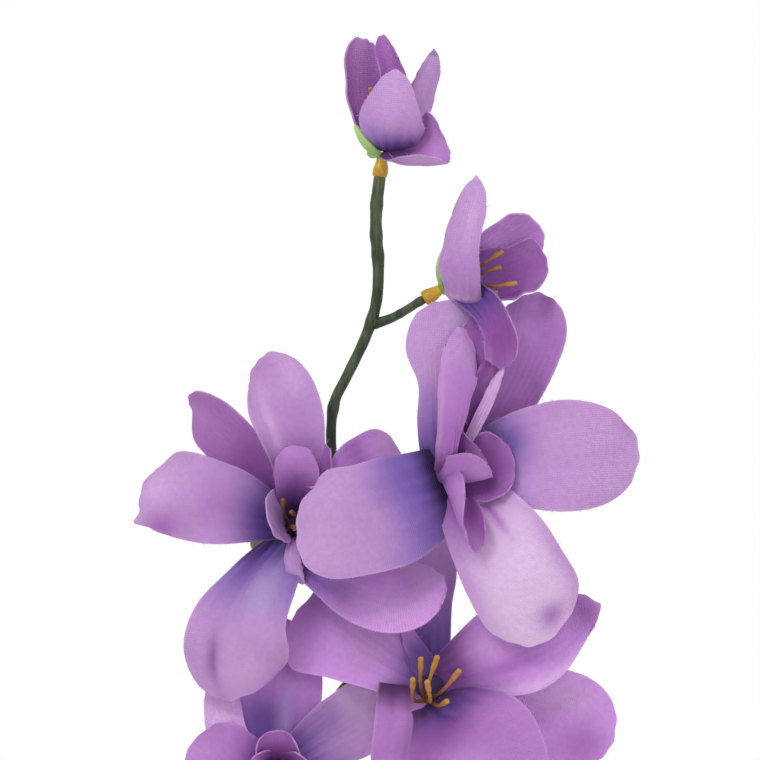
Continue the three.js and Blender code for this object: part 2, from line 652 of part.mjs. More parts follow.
// Parts of one flower
function petalSolid(flower) {
  const hub = new THREE.SphereGeometry(flower.size.hub, ...HUB_FACETS);
  const petals = Object.values(flower.petals)
    .map((petal) => bladeGeometry(petal, PETAL_FACETS, PETAL_THICKNESS));
  const inner = Object.values(flower.inner || {})
    .map((petal) => bladeGeometry(petal, SMALL_FACETS, PETAL_THICKNESS));
  return fuse([hub, ...petals, ...inner]);
}

// The lobes are set out about the axis: each goes out to [x, y] and forward by z
function calyxSolid({ size, lobes }) {
  const front = -size.hub - GAP;
  const back = front - size.discThickness;
  const discProfile = [[0, back], [size.disc * CALYX.backShare, back], [size.disc, front], [0, front]];
  const disc = turnedGeometry(discProfile, CALYX.sides);
  const middle = (front + back) / 2;
  const blades = lobes.map(([x, y, z]) => {
    const out = Math.hypot(x, y);
    const spine = [[0, 0, middle], [x * CALYX.lobeBend, y * CALYX.lobeBend, middle], [x, y, middle + z]];
    const width = CALYX.lobeWidth + out * CALYX.lobeTaper;
    const lobe = { spine, width, base: 0.7, belly: 0.45, blunt: 1.6, facing: [0, 0, 1], cup: [20, 30] };
    return bladeGeometry(lobe, LOBE_FACETS, LOBE_THICKNESS);
  });
  return fuse([disc, ...blades]);
}

function collarGeometry({ size }) {
  const front = -size.hub - size.discThickness - 2 * GAP;
  const back = front - size.collarLength;
  const profile = [[0, 0], [0.8, 0], [1, 0.2], [1, 0.5], [0.85, 0.75], [0.65, 1], [0, 1]]
    .map(([radius, place]) => [radius * size.collarRadius, THREE.MathUtils.lerp(back, front, place)]);
  return turnedGeometry(profile, COLLAR_SIDES);
}

function stamenSolid({ filaments }) {
  const start = filaments[0][0];
  const clump = new THREE.SphereGeometry(STAMEN.clumpRadius, 6, 5).translate(...start);
  const radiusAt = (t) => STAMEN.radius + STAMEN.tipRise * t ** 3;
  const rods = filaments.map((points) => rodGeometry(points, radiusAt, STAMEN.sides, STAMEN.steps));
  return fuse([clump, ...rods]);
}

function piece(name, shape, look) {
  const geometry = shape.isBufferGeometry ? shape : toGeometry(shape);
  const mesh = new THREE.Mesh(geometry, new THREE.MeshStandardMaterial(look));
  mesh.name = name;
  return mesh;
}

function flowerGroup(name, flower) {
  const group = new THREE.Group();
  group.position.set(...flower.centre);
  const behind = new THREE.Group();
  behind.quaternion.setFromUnitVectors(new THREE.Vector3(0, 0, 1), vector(flower.axis).normalize());
  behind.add(piece(`${name}_calyx`, calyxSolid(flower), COLOURS.calyx));
  behind.add(piece(`${name}_collar`, collarGeometry(flower), COLOURS.collar));
  group.add(piece(`${name}_petals`, petalSolid(flower), COLOURS.petals));
  group.add(piece(`${name}_stamens`, stamenSolid(flower), COLOURS.stamens));
  group.add(behind);
  return group;
}

const orchid = new THREE.Group();
orchid.add(piece('vase', vaseGeometry(), COLOURS.glass));
orchid.add(piece('fill', fillSolid(), COLOURS.fill));
orchid.add(piece('stem', stemSolid(), COLOURS.stem));
for (const [name, flower] of Object.entries(FLOWERS)) {
  orchid.add(flowerGroup(name, flower));
}

export default orchid;
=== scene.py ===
"""An orchid spray in a clear glass bottle vase: fabric petals, stamens, calyxes, collars, stem, floor and lights."""

import math

import bpy
import numpy as np
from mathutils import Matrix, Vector


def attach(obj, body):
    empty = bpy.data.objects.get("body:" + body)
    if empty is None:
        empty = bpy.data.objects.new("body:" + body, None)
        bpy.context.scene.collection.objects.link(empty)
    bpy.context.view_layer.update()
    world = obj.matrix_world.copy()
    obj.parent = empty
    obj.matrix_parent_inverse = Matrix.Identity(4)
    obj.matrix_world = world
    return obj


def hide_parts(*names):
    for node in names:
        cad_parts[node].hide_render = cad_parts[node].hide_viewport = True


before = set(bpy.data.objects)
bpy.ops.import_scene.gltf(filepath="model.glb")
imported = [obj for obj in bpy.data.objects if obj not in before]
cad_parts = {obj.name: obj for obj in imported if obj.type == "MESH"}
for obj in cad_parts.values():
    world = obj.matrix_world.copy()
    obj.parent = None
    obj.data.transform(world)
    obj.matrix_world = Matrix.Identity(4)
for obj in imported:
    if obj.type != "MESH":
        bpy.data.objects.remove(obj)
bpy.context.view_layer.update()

# Lengths below are in millimetres, as in the record; a finished mesh is scaled to metres
MM = 0.001

# GAP is the room between two neighbouring solids, and MEET how far a piece of the scene reaches into it
GAP = 0.3
MEET = 0.14

# Thickness of the cloth and of a calyx lobe
CLOTH = 0.45
LOBE = 0.7

# Rows and columns of the grids that are pressed into large petals, small inner petals and calyx lobes
LONG_GRID = (54, 36)
SHORT_GRID = (32, 26)
LOBE_GRID = (16, 10)

# Where the edge turns from a petal's side to its tip, and the steps in which a cupped petal's bend is summed
TIP_CORNER = 0.72
BEND_SAMPLES = 14

# How far pressed cloth stands off the smooth petal
RELIEF = dict(rib=0.07, pleat=0.22, wave=0.3, tip=0.2, sag=0.09)

# How fully a root's dye covers each face, how much painted shade darkens each face at the root, and how much
# paler the cloth is towards its tip and along its cut edge
ROOT_DYE_AND_SHADE = dict(inner=0.95, outer=0.55, inner_shade=0.55, outer_shade=0.35)
PALER = dict(tip=0.14, edge=0.22)

# Loose threads at a cut edge: how many to the millimetre, the (place, radius) of a thread's rings, and their corners
FRAY = dict(per_mm=1.3, rings=((-0.3, 0.05), (0.5, 0.045), (1, 0.02)), turns=(0, 2.09, 4.19))

# The camera looks level along +Y, and 4 pixels of the photograph are a millimetre at the stem
EYE = (-3, -1500, 355)
VIEW_HEIGHT = 190
SENSOR = 36

BUD = dict(hub=2.4, disc=2.4, disc_thickness=1.3, collar_length=4.4, collar_radius=2)
BLOOM = dict(hub=4, disc=3, disc_thickness=1.5, collar_length=4.5, collar_radius=2.1)

VASE = dict(
    outline=((0, 31), (4, 33), (38, 35), (72, 28.5), (100, 16.5), (122, 13), (142, 13.6), (160, 17)),
    wall=3, floor=10, floor_round=2, lip=1.2, foot_round=1.2, foot_ring=(20, 24), foot_hollow=0.6, steps=128,
)
FILL = dict(top=86, clearance=0.12, steps=96)

STEM = dict(
    foot=14, straight_top=120, wide_below=200, bend=345, top=405,
    foot_radius=1.9, bend_radius=1.3, top_radius=1.55,
    joints=(399, 391, 386, 370, 348, 325, 285, 240, 205, 175), joint_rise=0.22, joint_length=1.8,
    steps=620, sides=24,
)
STALK = dict(radius=1.1, flare=0.35, steps=60, sides=20)
STAMEN = dict(clump=1.1, radius=0.4, anther=0.62, anther_length=0.2, steps=44, sides=16)

# Dyes of the fabric, then paints of the stamens, calyxes, collars and stem, as sRGB from 0 to 255.
# The dark ones, ink, dusk, plum and wine, are also laid as painted shade, and rose, pale and iris as painted light
DYE_SHADE_AND_LIGHT_COLOURS = {
    "pale": (222, 190, 228),
    "rose": (208, 164, 216),
    "haze": (174, 158, 210),
    "iris": (206, 146, 224),
    "lilac": (188, 143, 202),
    "mallow": (177, 120, 193),
    "grape": (165, 106, 178),
    "orchid": (156, 90, 172),
    "wine": (128, 64, 144),
    "plum": (104, 50, 124),
    "blue": (114, 90, 176),
    "dusk": (92, 66, 148),
    "ink": (44, 22, 66),
    "umber": (104, 60, 20),
    "gold": (180, 126, 50),
    "leaf": (118, 158, 62),
    "mint": (176, 206, 128),
    "yolk": (204, 170, 34),
    "ochre": (184, 132, 22),
    "bark": (34, 44, 28),
    "moss": (56, 70, 44),
    "sage": (86, 98, 66),
}

# A petal's spine holds the middles of its root, of its length and of its tip, from the flower's centre.
# base is the root's share of the width, belly the place of the full width, and blunt how square the tip is.
# left and right are each edge's shares of half the width, at even steps from root to tip.
# cup is the bend of the edges towards facing, in degrees, at the root and at the tip, and crease a fold's place
# and turn. A dent is (place along, place across, reach along, reach across, depth).
# dye names the inner face, the outer face and the root, and says how far the root's dye has run up the petal.
# The face colours are also chosen darker or paler for the light that each petal gets, as painted shade and light.
# A patch is (place along, place across, reach along, reach across, dye, strength), and is on the outer face where
# its strength is negative. Patches are dye marks, painted shade in creases, dents, gaps and under neighbouring
# petals, and painted light where a petal stands lit.
FLOWERS = {
    "bud_top": {
        "centre": (-2, 0, 414.5), "axis": (0.12, 0, 1), "size": BUD,
        "petals": {
            "back_left": dict(spine=((-1, 1, -0.5), (-5, 7, 10), (-4.8, 9, 26.4)), width=13, base=0.5,
                belly=0.6, blunt=3.6, facing=(0.35, -0.9, 0), cup=(70, 50), left=(1, 1, 1, 1.02, 1.15),
                right=(1, 1, 0.95, 0.8, 0.7), dye_and_shade=("grape", "lilac", "plum", 0.45), dye_shade_and_light_patches=(
                    # Painted shadow of the back petal on the right side, and painted shade at the root
                    (0.5, -0.6, 0.3, 0.5, "wine", 0.6), (0.12, 0, 0.22, 1.2, "plum", 0.7),
                    (0.3, 0.97, 0.28, 0.1, "lilac", 0.9),
                )),
            "back": dict(spine=((1, 2, 0), (3.2, 4, 13), (-0.7, 4.5, 27.3)), width=6.8, base=0.7, belly=0.45,
                blunt=1.8, facing=(0, -1, 0), cup=(40, 40), left=(1, 1, 1.1, 1.4, 1.75),
                right=(1, 1, 1, 0.7, 0.5), dye_and_shade=("orchid", "lilac", "plum", 0.5)),
            "front": dict(spine=((1.5, -1.5, -2.2), (1.9, -8.5, 5), (3.4, -6, 17.5)), width=21, base=0.75,
                belly=0.4, blunt=2, facing=(0, 1, 0), cup=(35, 80), left=(0.8, 0.88, 0.82, 0.72, 0.65),
                right=(0.6, 0.76, 0.9, 0.84, 0.75), dye_and_shade=("orchid", "lilac", "blue", 0.3), dye_shade_and_light_patches=(
                    (0.08, 0.1, 0.2, 1, "dusk", -0.9), (0.32, -0.6, 0.2, 0.4, "blue", -0.35),
                    (0.3, 0.9, 0.2, 0.3, "mallow", -0.6),
                )),
            "right": dict(spine=((1.5, 2, -1), (8.7, 3, 9), (12.4, 1, 22.6)), width=8.8, base=0.5, belly=0.5,
                blunt=1.4, point=(0.05, 0.035), facing=(-0.5, 0.9, 0), cup=(45, 35),
                dye_and_shade=("orchid", "lilac", "blue", 0.15), dye_shade_and_light_patches=(
                    (0.5, -0.9, 0.3, 0.2, "wine", -0.85), (0.99, 0, 0.02, 1, "ink", -0.5),
                )),
            "low_right": dict(spine=((0.5, -1, -1.5), (8.5, -3, -3), (16.2, -4, -2)), width=18, base=0.5,
                belly=0.55, blunt=3, facing=(-0.1, -0.8, 0.6), cup=(60, 50), crease=(-0.62, -60), soft=0.2,
                left=(1, 1.1, 1.05, 1.25, 1.1), right=(0.9, 1, 1, 1, 1),
                dye_and_shade=("grape", "lilac", "plum", 0.4), dye_shade_and_light_patches=(
                    # Painted shade: the ink patch is the dark slit inside the root
                    (0.3, -0.3, 0.16, 0.35, "ink", 0.85), (0.8, -0.2, 0.2, 0.6, "iris", 0.6),
                )),
        },
        "lobes": ((-7.6, -2.7, 6.6), (3.5, 4.5, -0.6), (-2.5, 5, -0.6)),
        "filaments": (
            ((-0.2, 0.5, 4.1), (-2, 1, 8), (-3.5, -1, 13.5)),
        ),
    },
    "bud_side": {
        "centre": (15.5, -9, 379.5), "axis": (0.86, 0, 0.5), "size": BUD,
        "petals": {
            "front": dict(spine=((1.5, -5, -5.3), (1.2, -11, 8.5), (5.4, -7, 25.4)), width=12.4, base=0.95,
                belly=0.2, blunt=2.2, point=(-0.1, 0.035), facing=(0.4, 0.9, 0), cup=(48, 40),
                left=(0.9, 0.9, 0.84, 1.08, 1.8), right=(1.2, 1.15, 0.97, 0.9, 0.7),
                dye_and_shade=("orchid", "lilac", "lilac", 0.2), dye_shade_and_light_patches=(
                    (0.3, 0.2, 0.14, 0.9, "mallow", -0.6), (0.72, 0.35, 0.2, 0.3, "rose", -0.6),
                    (0.04, 0, 0.06, 1, "rose", -0.7),
                )),
            "back": dict(spine=((0.5, 1, 1.5), (13, 6, 8.9), (21.4, 4, 13.8)), width=15, base=0.5, belly=0.6,
                blunt=3.4, facing=(-0.2, -1, -0.2), cup=(40, 60), right=(0.6, 0.4, 0.45, 0.8, 1),
                dye_and_shade=("iris", "lilac", "dusk", 0.35), dye_shade_and_light_patches=((0.7, -0.2, 0.3, 0.9, "mallow", 0.6),)),
            "back_low": dict(spine=((0, 0, -1), (12, 4, 2), (22.8, 1.5, 6)), width=19.5, base=0.5, belly=0.6,
                blunt=4.6, facing=(-0.2, -0.95, 0.2), cup=(60, 60), left=(1, 0.95, 0.72, 0.6, 0.9),
                dye_and_shade=("orchid", "lilac", "dusk", 0.4), dye_shade_and_light_patches=(
                    (0.35, 0.4, 0.18, 0.5, "dusk", 0.5), (0.5, -0.3, 0.25, 0.5, "wine", 0.3),
                )),
            "hanging": dict(spine=((4.2, -3.5, -3.6), (9, -12.5, -12.5), (11.2, -13.5, -21.4)), width=14,
                base=1, belly=0.5, blunt=2.3, facing=(-0.1, -1, 0.2), cup=(70, 60),
                left=(0.6, 0.9, 0.95, 0.92, 0.95), right=(0.7, 0.4, 0.32, 0.52, 0.7),
                dye_and_shade=("orchid", "lilac", "dusk", 0.4), dye_shade_and_light_patches=(
                    # Painted shade: the root lies under the front petal, and the right half is shaded
                    (0.15, 0.3, 0.25, 1.4, "dusk", 0.8), (0.62, 0.2, 0.4, 0.9, "wine", 0.85),
                )),
        },
        "lobes": ((-8.2, -2.6, 5.3), (3.8, -1.4, 0.6), (-2, 5, 2)),
        "filaments": (
            ((3.4, -1.4, 0.9), (7, -3, 4), (12, -2, 7.5)),
            ((3.4, -1.4, 0.9), (7, -3.5, 2), (11.5, -3, 3.5)),
            ((3.4, -1.4, 0.9), (8, -3, -1), (15.5, -2, -0.5)),
            ((3.4, -1.4, 0.9), (7, -3, -2), (10.5, -5, -3)),
        ),
    },
    "bloom_left": {
        # This flower's stamens are painted at half brightness, as painted shade deep in the bloom
        "centre": (-24.5, -6, 318), "axis": (-0.05, -1, 0.05), "size": BLOOM, "stamen_shade": 0.5,
        "petals": {
            "top": dict(spine=((1, -1, 3), (-1.5, -4, 26), (-8, 1, 42.9)), width=19.5, base=0.35, belly=0.6,
                blunt=2, facing=(0, -1, 0), cup=(30, -15), crease=(0.5, 22), left=(1, 0.72, 0.9, 0.86, 0.6),
                right=(1, 1, 0.98, 0.98, 0.95), dye_and_shade=("lilac", "lilac", "plum", 0.4), dye_shade_and_light_patches=(
                    (0.42, -0.3, 0.22, 0.6, "mallow", 0.7), (0.54, 0.5, 0.22, 0.16, "rose", 0.8),
                    (0.94, 0.4, 0.1, 0.6, "grape", 0.5), (0.75, -0.5, 0.14, 0.3, "rose", 0.4),
                )),
            "high_left": dict(spine=((-2, 1, 3), (-15.5, 0, 21.5), (-25.8, 6, 31.2)), width=14, base=0.45,
                belly=0.55, blunt=3.4, facing=(0.2, -0.7, -0.5), cup=(20, 20), wave=0.1,
                dye_and_shade=("grape", "lilac", "plum", 0.45), dye_shade_and_light_patches=((0.32, -0.1, 0.16, 0.8, "wine", 0.7),)),
            "left": dict(spine=((-2.5, -1, 1.5), (-22, -11, 7.5), (-38.3, -8, 7)), width=24.5, base=0.35,
                belly=0.58, blunt=2.6, point=(0.62, 0.09), facing=(0, -1, 0.35), cup=(30, -60), ripple=0.6,
                left=(1, 1, 0.92, 0.84, 0.95), right=(1, 1, 0.96, 1.23, 0.95),
                dye_and_shade=("lilac", "lilac", "dusk", 0.38), dye_shade_and_light_patches=(
                    # Painted shade behind the fold and at the root, and painted light on the lit tip
                    (0.78, 0.6, 0.16, 0.35, "grape", 0.6), (0.42, 0.1, 0.14, 0.7, "mallow", 0.7),
                    (0.86, -0.2, 0.12, 0.4, "rose", 0.8), (0.12, 0.4, 0.14, 0.8, "dusk", 0.6),
                    (0.84, 0.8, 0.14, 0.3, "orchid", 0.7),
                )),
            "low_left": dict(spine=((-1.5, -2, -3), (-13, -16, -21), (-13, -11, -41.5)), width=27.5,
                base=0.55, belly=0.62, blunt=3.6, facing=(-0.3, -0.8, 0.6), facingTip=(0, -1, 0.1),
                cup=(20, -50), ripple=0.8, left=(1, 0.94, 0.86, 1.04, 1.2),
                right=(0.6, 0.68, 0.86, 1, 0.95), dye_and_shade=("lilac", "lilac", "blue", 0.5), dye_shade_and_light_patches=(
                    (0.2, -0.5, 0.2, 0.6, "dusk", 0.6), (0.32, 0.3, 0.16, 0.35, "haze", 0.7),
                    # The wine patch over the dent is painted shade in it
                    (0.79, -0.42, 0.14, 0.12, "wine", 0.8), (0.86, 0.2, 0.12, 0.5, "rose", 0.7),
                ), dents=((0.79, -0.42, 0.14, 0.12, 1),)),
            "low_right": dict(spine=((2, -2, -3), (20.5, -15, -15), (35.6, -13, -10)), width=25, base=0.55,
                belly=0.6, blunt=2.5, facing=(0, -0.8, 0.6), cup=(30, -30), right=(1, 0.85, 0.93, 0.88, 0.6),
                dye_and_shade=("iris", "lilac", "dusk", 0.3), dye_shade_and_light_patches=(
                    (0.26, -0.5, 0.14, 0.6, "dusk", 0.6), (0.66, -0.5, 0.2, 0.4, "rose", 0.5),
                    (0.9, 0.4, 0.1, 0.4, "rose", 0.6), (0.78, 0, 0.1, 0.4, "mallow", 0.5),
                )),
            "high_right": dict(spine=((2.5, 0, 3), (16, -3, 10), (28, -1, 16)), width=22, base=0.4,
                belly=0.62, blunt=4, facing=(0, -1, 0), cup=(20, 20), left=(0.7, 0.7, 1.02, 1.1, 1.2),
                dye_and_shade=("iris", "lilac", "plum", 0.4), dye_shade_and_light_patches=(
                    (0.62, 0.7, 0.1, 0.5, "orchid", 0.6), (0.92, 0.6, 0.1, 0.5, "rose", 0.4),
                )),
        },
        "inner": {
            "top": dict(spine=((1, -1.5, 2.5), (1, -8, 12), (-0.5, -7, 20.5)), width=11.5, base=0.7,
                belly=0.5, blunt=2.6, facing=(0, -1, 0), cup=(50, 10), rim=0.05,
                dye_and_shade=("mallow", "mallow", "plum", 0.6), dye_shade_and_light_patches=(
                    # Painted shade deep in the heart, at the root
                    (0.28, 0, 0.36, 1, "plum", 0.85), (0.1, 0, 0.16, 1, "ink", 0.95),
                )),
            "left": dict(spine=((-2, -1.5, 1), (-4, -9, 3), (-6.5, -14, 4.5)), width=14, base=0.6,
                belly=0.5, blunt=2, facing=(1, -0.6, 0.35), cup=(50, 0),
                dye_and_shade=("lilac", "lilac", "plum", 0.3)),
            "shaded_end": dict(spine=((0.5, -2, -2), (-1, -12, -6.5), (2.5, -13, -13.5)), width=5.5, base=0.5,
                belly=0.45, blunt=1.6, facing=(-0.4, -0.9, 0), cup=(-60, -60),
                dye_and_shade=("lilac", "lilac", "plum", 0.3)),
            "right": dict(spine=((2.5, -1.5, 0), (6, -8, 0), (9, -12, -2.5)), width=11, base=0.6, belly=0.5,
                blunt=2.4, facing=(-1, -0.6, 0.1), cup=(60, 30), dye_and_shade=("mallow", "lilac", "plum", 0.4)),
            "high_right": dict(spine=((2.5, 0, 3), (6, -4, 12.5), (7, -4, 21)), width=8, base=0.6,
                belly=0.5, blunt=3, facing=(-0.4, -1, 0), cup=(40, 40),
                dye_and_shade=("orchid", "lilac", "plum", 0.6)),
        },
        "lobes": ((-11, -4, 3), (-5, 9, 2), (5, 9, 2), (9, -4, 2), (0, -10, 2)),
        "filaments": (
            ((0, -5.5, 0.5), (-2, -9, 4), (-2.5, -12, 7.5)),
            ((0, -5.5, 0), (-0.5, -9.5, 1), (0.5, -13, 0.5)),
            ((0, -5.5, 0), (1, -9, 3), (-0.5, -12.5, 4.5)),
        ),
    },
    "bloom_right": {
        "centre": (14.5, -16, 331.5), "axis": (0.15, -1, 0.1), "size": BLOOM,
        "petals": {
            "left": dict(spine=((1, -0.5, -3), (-20.5, -18, -10), (-38, -17, -12)), width=27.5, base=0.8,
                belly=0.45, blunt=4.5, facing=(0.2, -1, 0.15), cup=(0, -25), left=(0.7, 1, 1, 1, 1),
                right=(1, 1, 0.98, 0.98, 0.95), dye_and_shade=("lilac", "lilac", "blue", 0.45), dye_shade_and_light_patches=(
                    # Painted shade: the ink is the dark gap between this petal's root and the inner petals
                    (0.22, -0.4, 0.14, 1.2, "blue", 0.7), (0.06, 0, 0.06, 3, "ink", 0.9),
                    (0.8, 0.2, 0.15, 0.6, "rose", 0.3),
                )),
            "top": dict(spine=((-1.5, -1, 1.5), (-2.5, -4, 22.5), (-2, 5, 42.8)), width=18.5, base=0.5,
                belly=0.72, blunt=3.4, facing=(-0.1, -1, 0), cup=(-60, -20),
                left=(1.3, 0.95, 0.68, 0.98, 0.95), right=(1, 0.8, 0.72, 1.05, 2),
                dye_and_shade=("lilac", "lilac", "blue", 0.35), dye_shade_and_light_patches=(
                    (0.2, 0.5, 0.22, 0.7, "dusk", 0.5), (0.92, -0.9, 0.1, 0.45, "haze", 0.7),
                    (0.4, 0.5, 0.12, 0.4, "blue", 0.3),
                )),
            "high_right": dict(spine=((2, 1, 2.5), (16.8, 8, 25), (21, 12, 45)), width=19, base=0.5,
                belly=0.62, blunt=2.8, facing=(-0.1, -1, 0), cup=(20, 30), right=(1, 0.9, 0.9, 1, 1),
                dye_and_shade=("mallow", "lilac", "plum", 0.35)),
            "right": dict(spine=((3, 0, 1.5), (25.5, -5, 5), (46.5, 1, 6)), width=29, base=0.45, belly=0.56,
                blunt=2.2, facing=(-0.15, -1, 0.2), cup=(30, -25), left=(1, 0.95, 0.95, 0.95, 1),
                dye_and_shade=("lilac", "lilac", "blue", 0.36), dye_shade_and_light_patches=(
                    (0.24, 0.4, 0.12, 0.5, "dusk", 0.9), (0.14, -0.2, 0.1, 0.6, "dusk", 0.6),
                    (0.95, 0.6, 0.06, 0.25, "orchid", 0.4), (0.6, 0.3, 0.15, 0.3, "rose", 0.25),
                )),
            "low_right": dict(spine=((2, -2, -3), (13.5, -14, -22), (19.5, -11, -41.5)), width=28.5,
                base=0.5, belly=0.6, blunt=2.7, facing=(-0.1, -1, 0.3), facingTip=(0, -1, 0.1),
                cup=(20, -45), left=(1, 1, 1, 1.15, 1.2), right=(1, 0.9, 0.85, 0.8, 0.85),
                dye_and_shade=("pale", "lilac", "mallow", 0.3), dye_shade_and_light_patches=(
                    # The orchid and mallow patches over the dents are painted shade in them
                    (0.12, -0.6, 0.3, 0.6, "orchid", 0.8), (0.5, -0.95, 0.4, 0.3, "lilac", 0.95),
                    (0.55, 0.98, 0.4, 0.25, "lilac", 0.95), (0.87, 0.45, 0.08, 0.28, "orchid", 0.8),
                    (0.22, 0.3, 0.14, 0.1, "mallow", 0.7),
                ), dents=(
                    (0.87, 0.45, 0.08, 0.28, 1), (0.22, 0.3, 0.12, 0.07, 0.7), (0.22, 0.08, 0.12, 0.06, -0.5),
                )),
        },
        "inner": {
            "bowl": dict(spine=((-1, -3, 0.5), (4, -8, 0.8), (9.2, -8.5, 2)), width=14, base=0.9, belly=0.4,
                blunt=4.5, facing=(0, -1, 0.1), cup=(15, 15), crease=(-0.42, -140), soft=0.28,
                left=(0.8, 1.8, 1.59, 1.12, 0.9), right=(1.1, 1.5, 1.6, 1.6, 1.5),
                dye_and_shade=("wine", "mallow", "plum", 0.2)),
            "crescent": dict(spine=((1, -2, 0), (8.5, -4.6, 1.5), (15.7, -6, 3)), width=18.5, base=0.6,
                belly=0.5, blunt=2.3, facing=(-0.4, -0.9, 0.2), cup=(30, 45),
                dye_and_shade=("orchid", "lilac", "plum", 0.3), dye_shade_and_light_patches=((0.55, 0, 0.3, 0.7, "plum", 0.8),)),
            "shaded_end": dict(spine=((-1.5, -2.5, -2), (1.7, -14, -9), (6.8, -17, -18.2)), width=12.6, base=0.7,
                belly=0.45, blunt=1.7, facing=(0.7, -0.7, 0), cup=(100, 90), right=(1, 1.3, 1.3, 1.1, 0.8),
                dye_and_shade=("orchid", "mallow", "plum", 0.3), dye_shade_and_light_patches=((0.6, 0.4, 0.3, 0.5, "wine", 0.6),)),
            "strip": dict(spine=((-0.5, -6, 0), (1.4, -11.5, 16), (2.6, -1.5, 36)), width=10.5, base=0.8,
                belly=0.5, blunt=4.2, facing=(0.2, -1, 0), cup=(-90, -35), right=(0.4, 0.25, 0.6, 1, 1.1),
                dye_and_shade=("mallow", "lilac", "plum", 0.2), dye_shade_and_light_patches=(
                    (0.3, 0, 0.2, 1, "orchid", 0.6), (0.9, -0.2, 0.1, 1, "lilac", 0.7),
                    (0.5, 0.8, 0.4, 0.2, "rose", 0.5),
                )),
            "fold": dict(spine=((0.5, -1, 3), (5.6, -2, 25), (6.6, 1.5, 39.5)), width=9, base=0.5, belly=0.6,
                blunt=2, facing=(0.2, -1, 0), cup=(30, 20), dye_and_shade=("orchid", "lilac", "plum", 0.4), dye_shade_and_light_patches=(
                    (0.95, 0, 0.1, 1, "wine", 0.5),
                )),
            # The slot petal lies deep in shade, and its dark colours are painted shade
            "slot": dict(spine=((-0.5, -1, 5), (5.4, -5, 17), (10.6, -4, 28.5)), width=6.5, base=0.6,
                belly=0.55, blunt=3.4, facing=(0.1, -1, 0), cup=(40, 40), dye_and_shade=("wine", "plum", "plum", 0.7),
                rim=0.02),
            "sliver": dict(spine=((2, -1.5, 4), (7.4, -6.5, 15), (13, -5, 27)), width=2.8, base=0.5, belly=0.5,
                blunt=2, facing=(-0.1, -1, 0), cup=(-20, -20), dye_and_shade=("rose", "lilac", "lilac", 0.2)),
        },
        "lobes": ((-9, 3, 3), (-4, 9, 3), (6, 8, 3), (8, -5, 3), (-4, -9, 3)),
        "filaments": (
            ((1.6, -5, 1.7), (2.1, -6.3, 2.4), (2.7, -7.6, 3.1)),
            ((1.6, -5, 1.7), (2.3, -6.4, 1.8), (3, -7.8, 2)),
        ),
    },
    "bloom_front": {
        "centre": (9.5, -18, 278.5), "axis": (-0.1, -1, 0), "size": BLOOM, "stout": 1.15,
        "petals": {
            "left": dict(spine=((-2, -0.5, 2), (-18, 5, 11.8), (-31.2, 9, 21.5)), width=25, base=0.5,
                belly=0.55, blunt=4.5, facing=(0.1, -1, 0.2), cup=(20, -30),
                left=(1, 0.86, 0.93, 1.2, 1.1), right=(1, 1, 1, 1.2, 1.5),
                dye_and_shade=("iris", "lilac", "dusk", 0.2), dye_shade_and_light_patches=(
                    # Rose patches are painted light, and the dusk at the root is painted shade
                    (0.93, -0.1, 0.12, 0.9, "grape", 0.5), (0.45, 0, 0.2, 0.6, "rose", 0.5),
                    (0.12, -0.5, 0.12, 0.6, "dusk", 0.7), (0.6, -0.6, 0.2, 0.3, "rose", 0.5),
                )),
            "top": dict(spine=((0.5, 0, 2.5), (-1.5, 8, 20.5), (2.5, 11, 38)), width=15, base=0.6,
                belly=0.6, blunt=2.4, facing=(0, -1, 0), cup=(30, 20), right=(1, 1, 0.95, 1, 1),
                rim=0.02, dye_and_shade=("lilac", "lilac", "blue", 0.6), dye_shade_and_light_patches=((0.25, 0, 0.15, 1, "dusk", 0.5),)),
            "right": dict(spine=((2, 0, 2.5), (21, -4, 10), (41, 1, 21.5)), width=24, base=0.45, belly=0.55,
                blunt=1.9, facing=(-0.1, -1, 0.2), cup=(30, -50), left=(1, 1.06, 1.05, 1, 1),
                right=(0.9, 0.8, 0.96, 0.86, 0.45), dye_and_shade=("iris", "lilac", "plum", 0.4), dye_shade_and_light_patches=(
                    # Rose and pale patches are painted light, and the plum at the root is painted shade
                    (0.93, -0.1, 0.1, 0.8, "wine", 0.7), (0.34, 0.45, 0.18, 0.3, "rose", 0.5),
                    (0.45, -0.3, 0.2, 0.25, "orchid", 0.7), (0.6, -0.9, 0.3, 0.13, "pale", 0.6),
                    (0.1, 0, 0.14, 1.5, "plum", 0.8),
                )),
            "low_right": dict(spine=((2.5, 1, -2), (26.5, 2, -6.5), (45, 7, -13.5)), width=25.5, base=0.5,
                belly=0.6, blunt=2.6, facing=(0, -1, 0), cup=(20, -20),
                dye_and_shade=("iris", "lilac", "plum", 0.3), dye_shade_and_light_patches=(
                    # The rose patch is painted light
                    (0.6, 0.5, 0.2, 0.4, "rose", 0.8), (0.82, -0.3, 0.18, 0.6, "orchid", 0.7),
                )),
            "shaded_end": dict(spine=((0.5, -1.5, -2), (12.5, -16, -15), (17, -13, -35.5)), width=31, base=0.7,
                belly=0.5, blunt=2.8, facing=(0, -0.9, 0.5), facingTip=(0, -1, 0), cup=(20, -40),
                left=(0.55, 0.95, 1.02, 1, 1), right=(0.6, 1.12, 1.24, 1.15, 1),
                dye_and_shade=("mallow", "lilac", "plum", 0.3), dye_shade_and_light_patches=(
                    (0.22, -0.4, 0.2, 0.7, "wine", 0.8), (0.12, 0, 0.09, 0.8, "dusk", 0.8),
                    (0.6, -0.2, 0.15, 0.3, "rose", 0.4), (0.5, -0.9, 0.3, 0.25, "wine", 0.5),
                    # Painted shade: ink at the heart
                    (0.03, 0, 0.07, 2, "ink", 0.9),
                )),
            "low_left": dict(spine=((-2, 0, 1), (-3, -8, -17), (-7, -4, -36)), width=24, base=0.9,
                belly=0.4, blunt=2.8, facing=(0, -0.9, 0.4), facingTip=(0, -1, 0), cup=(20, -40),
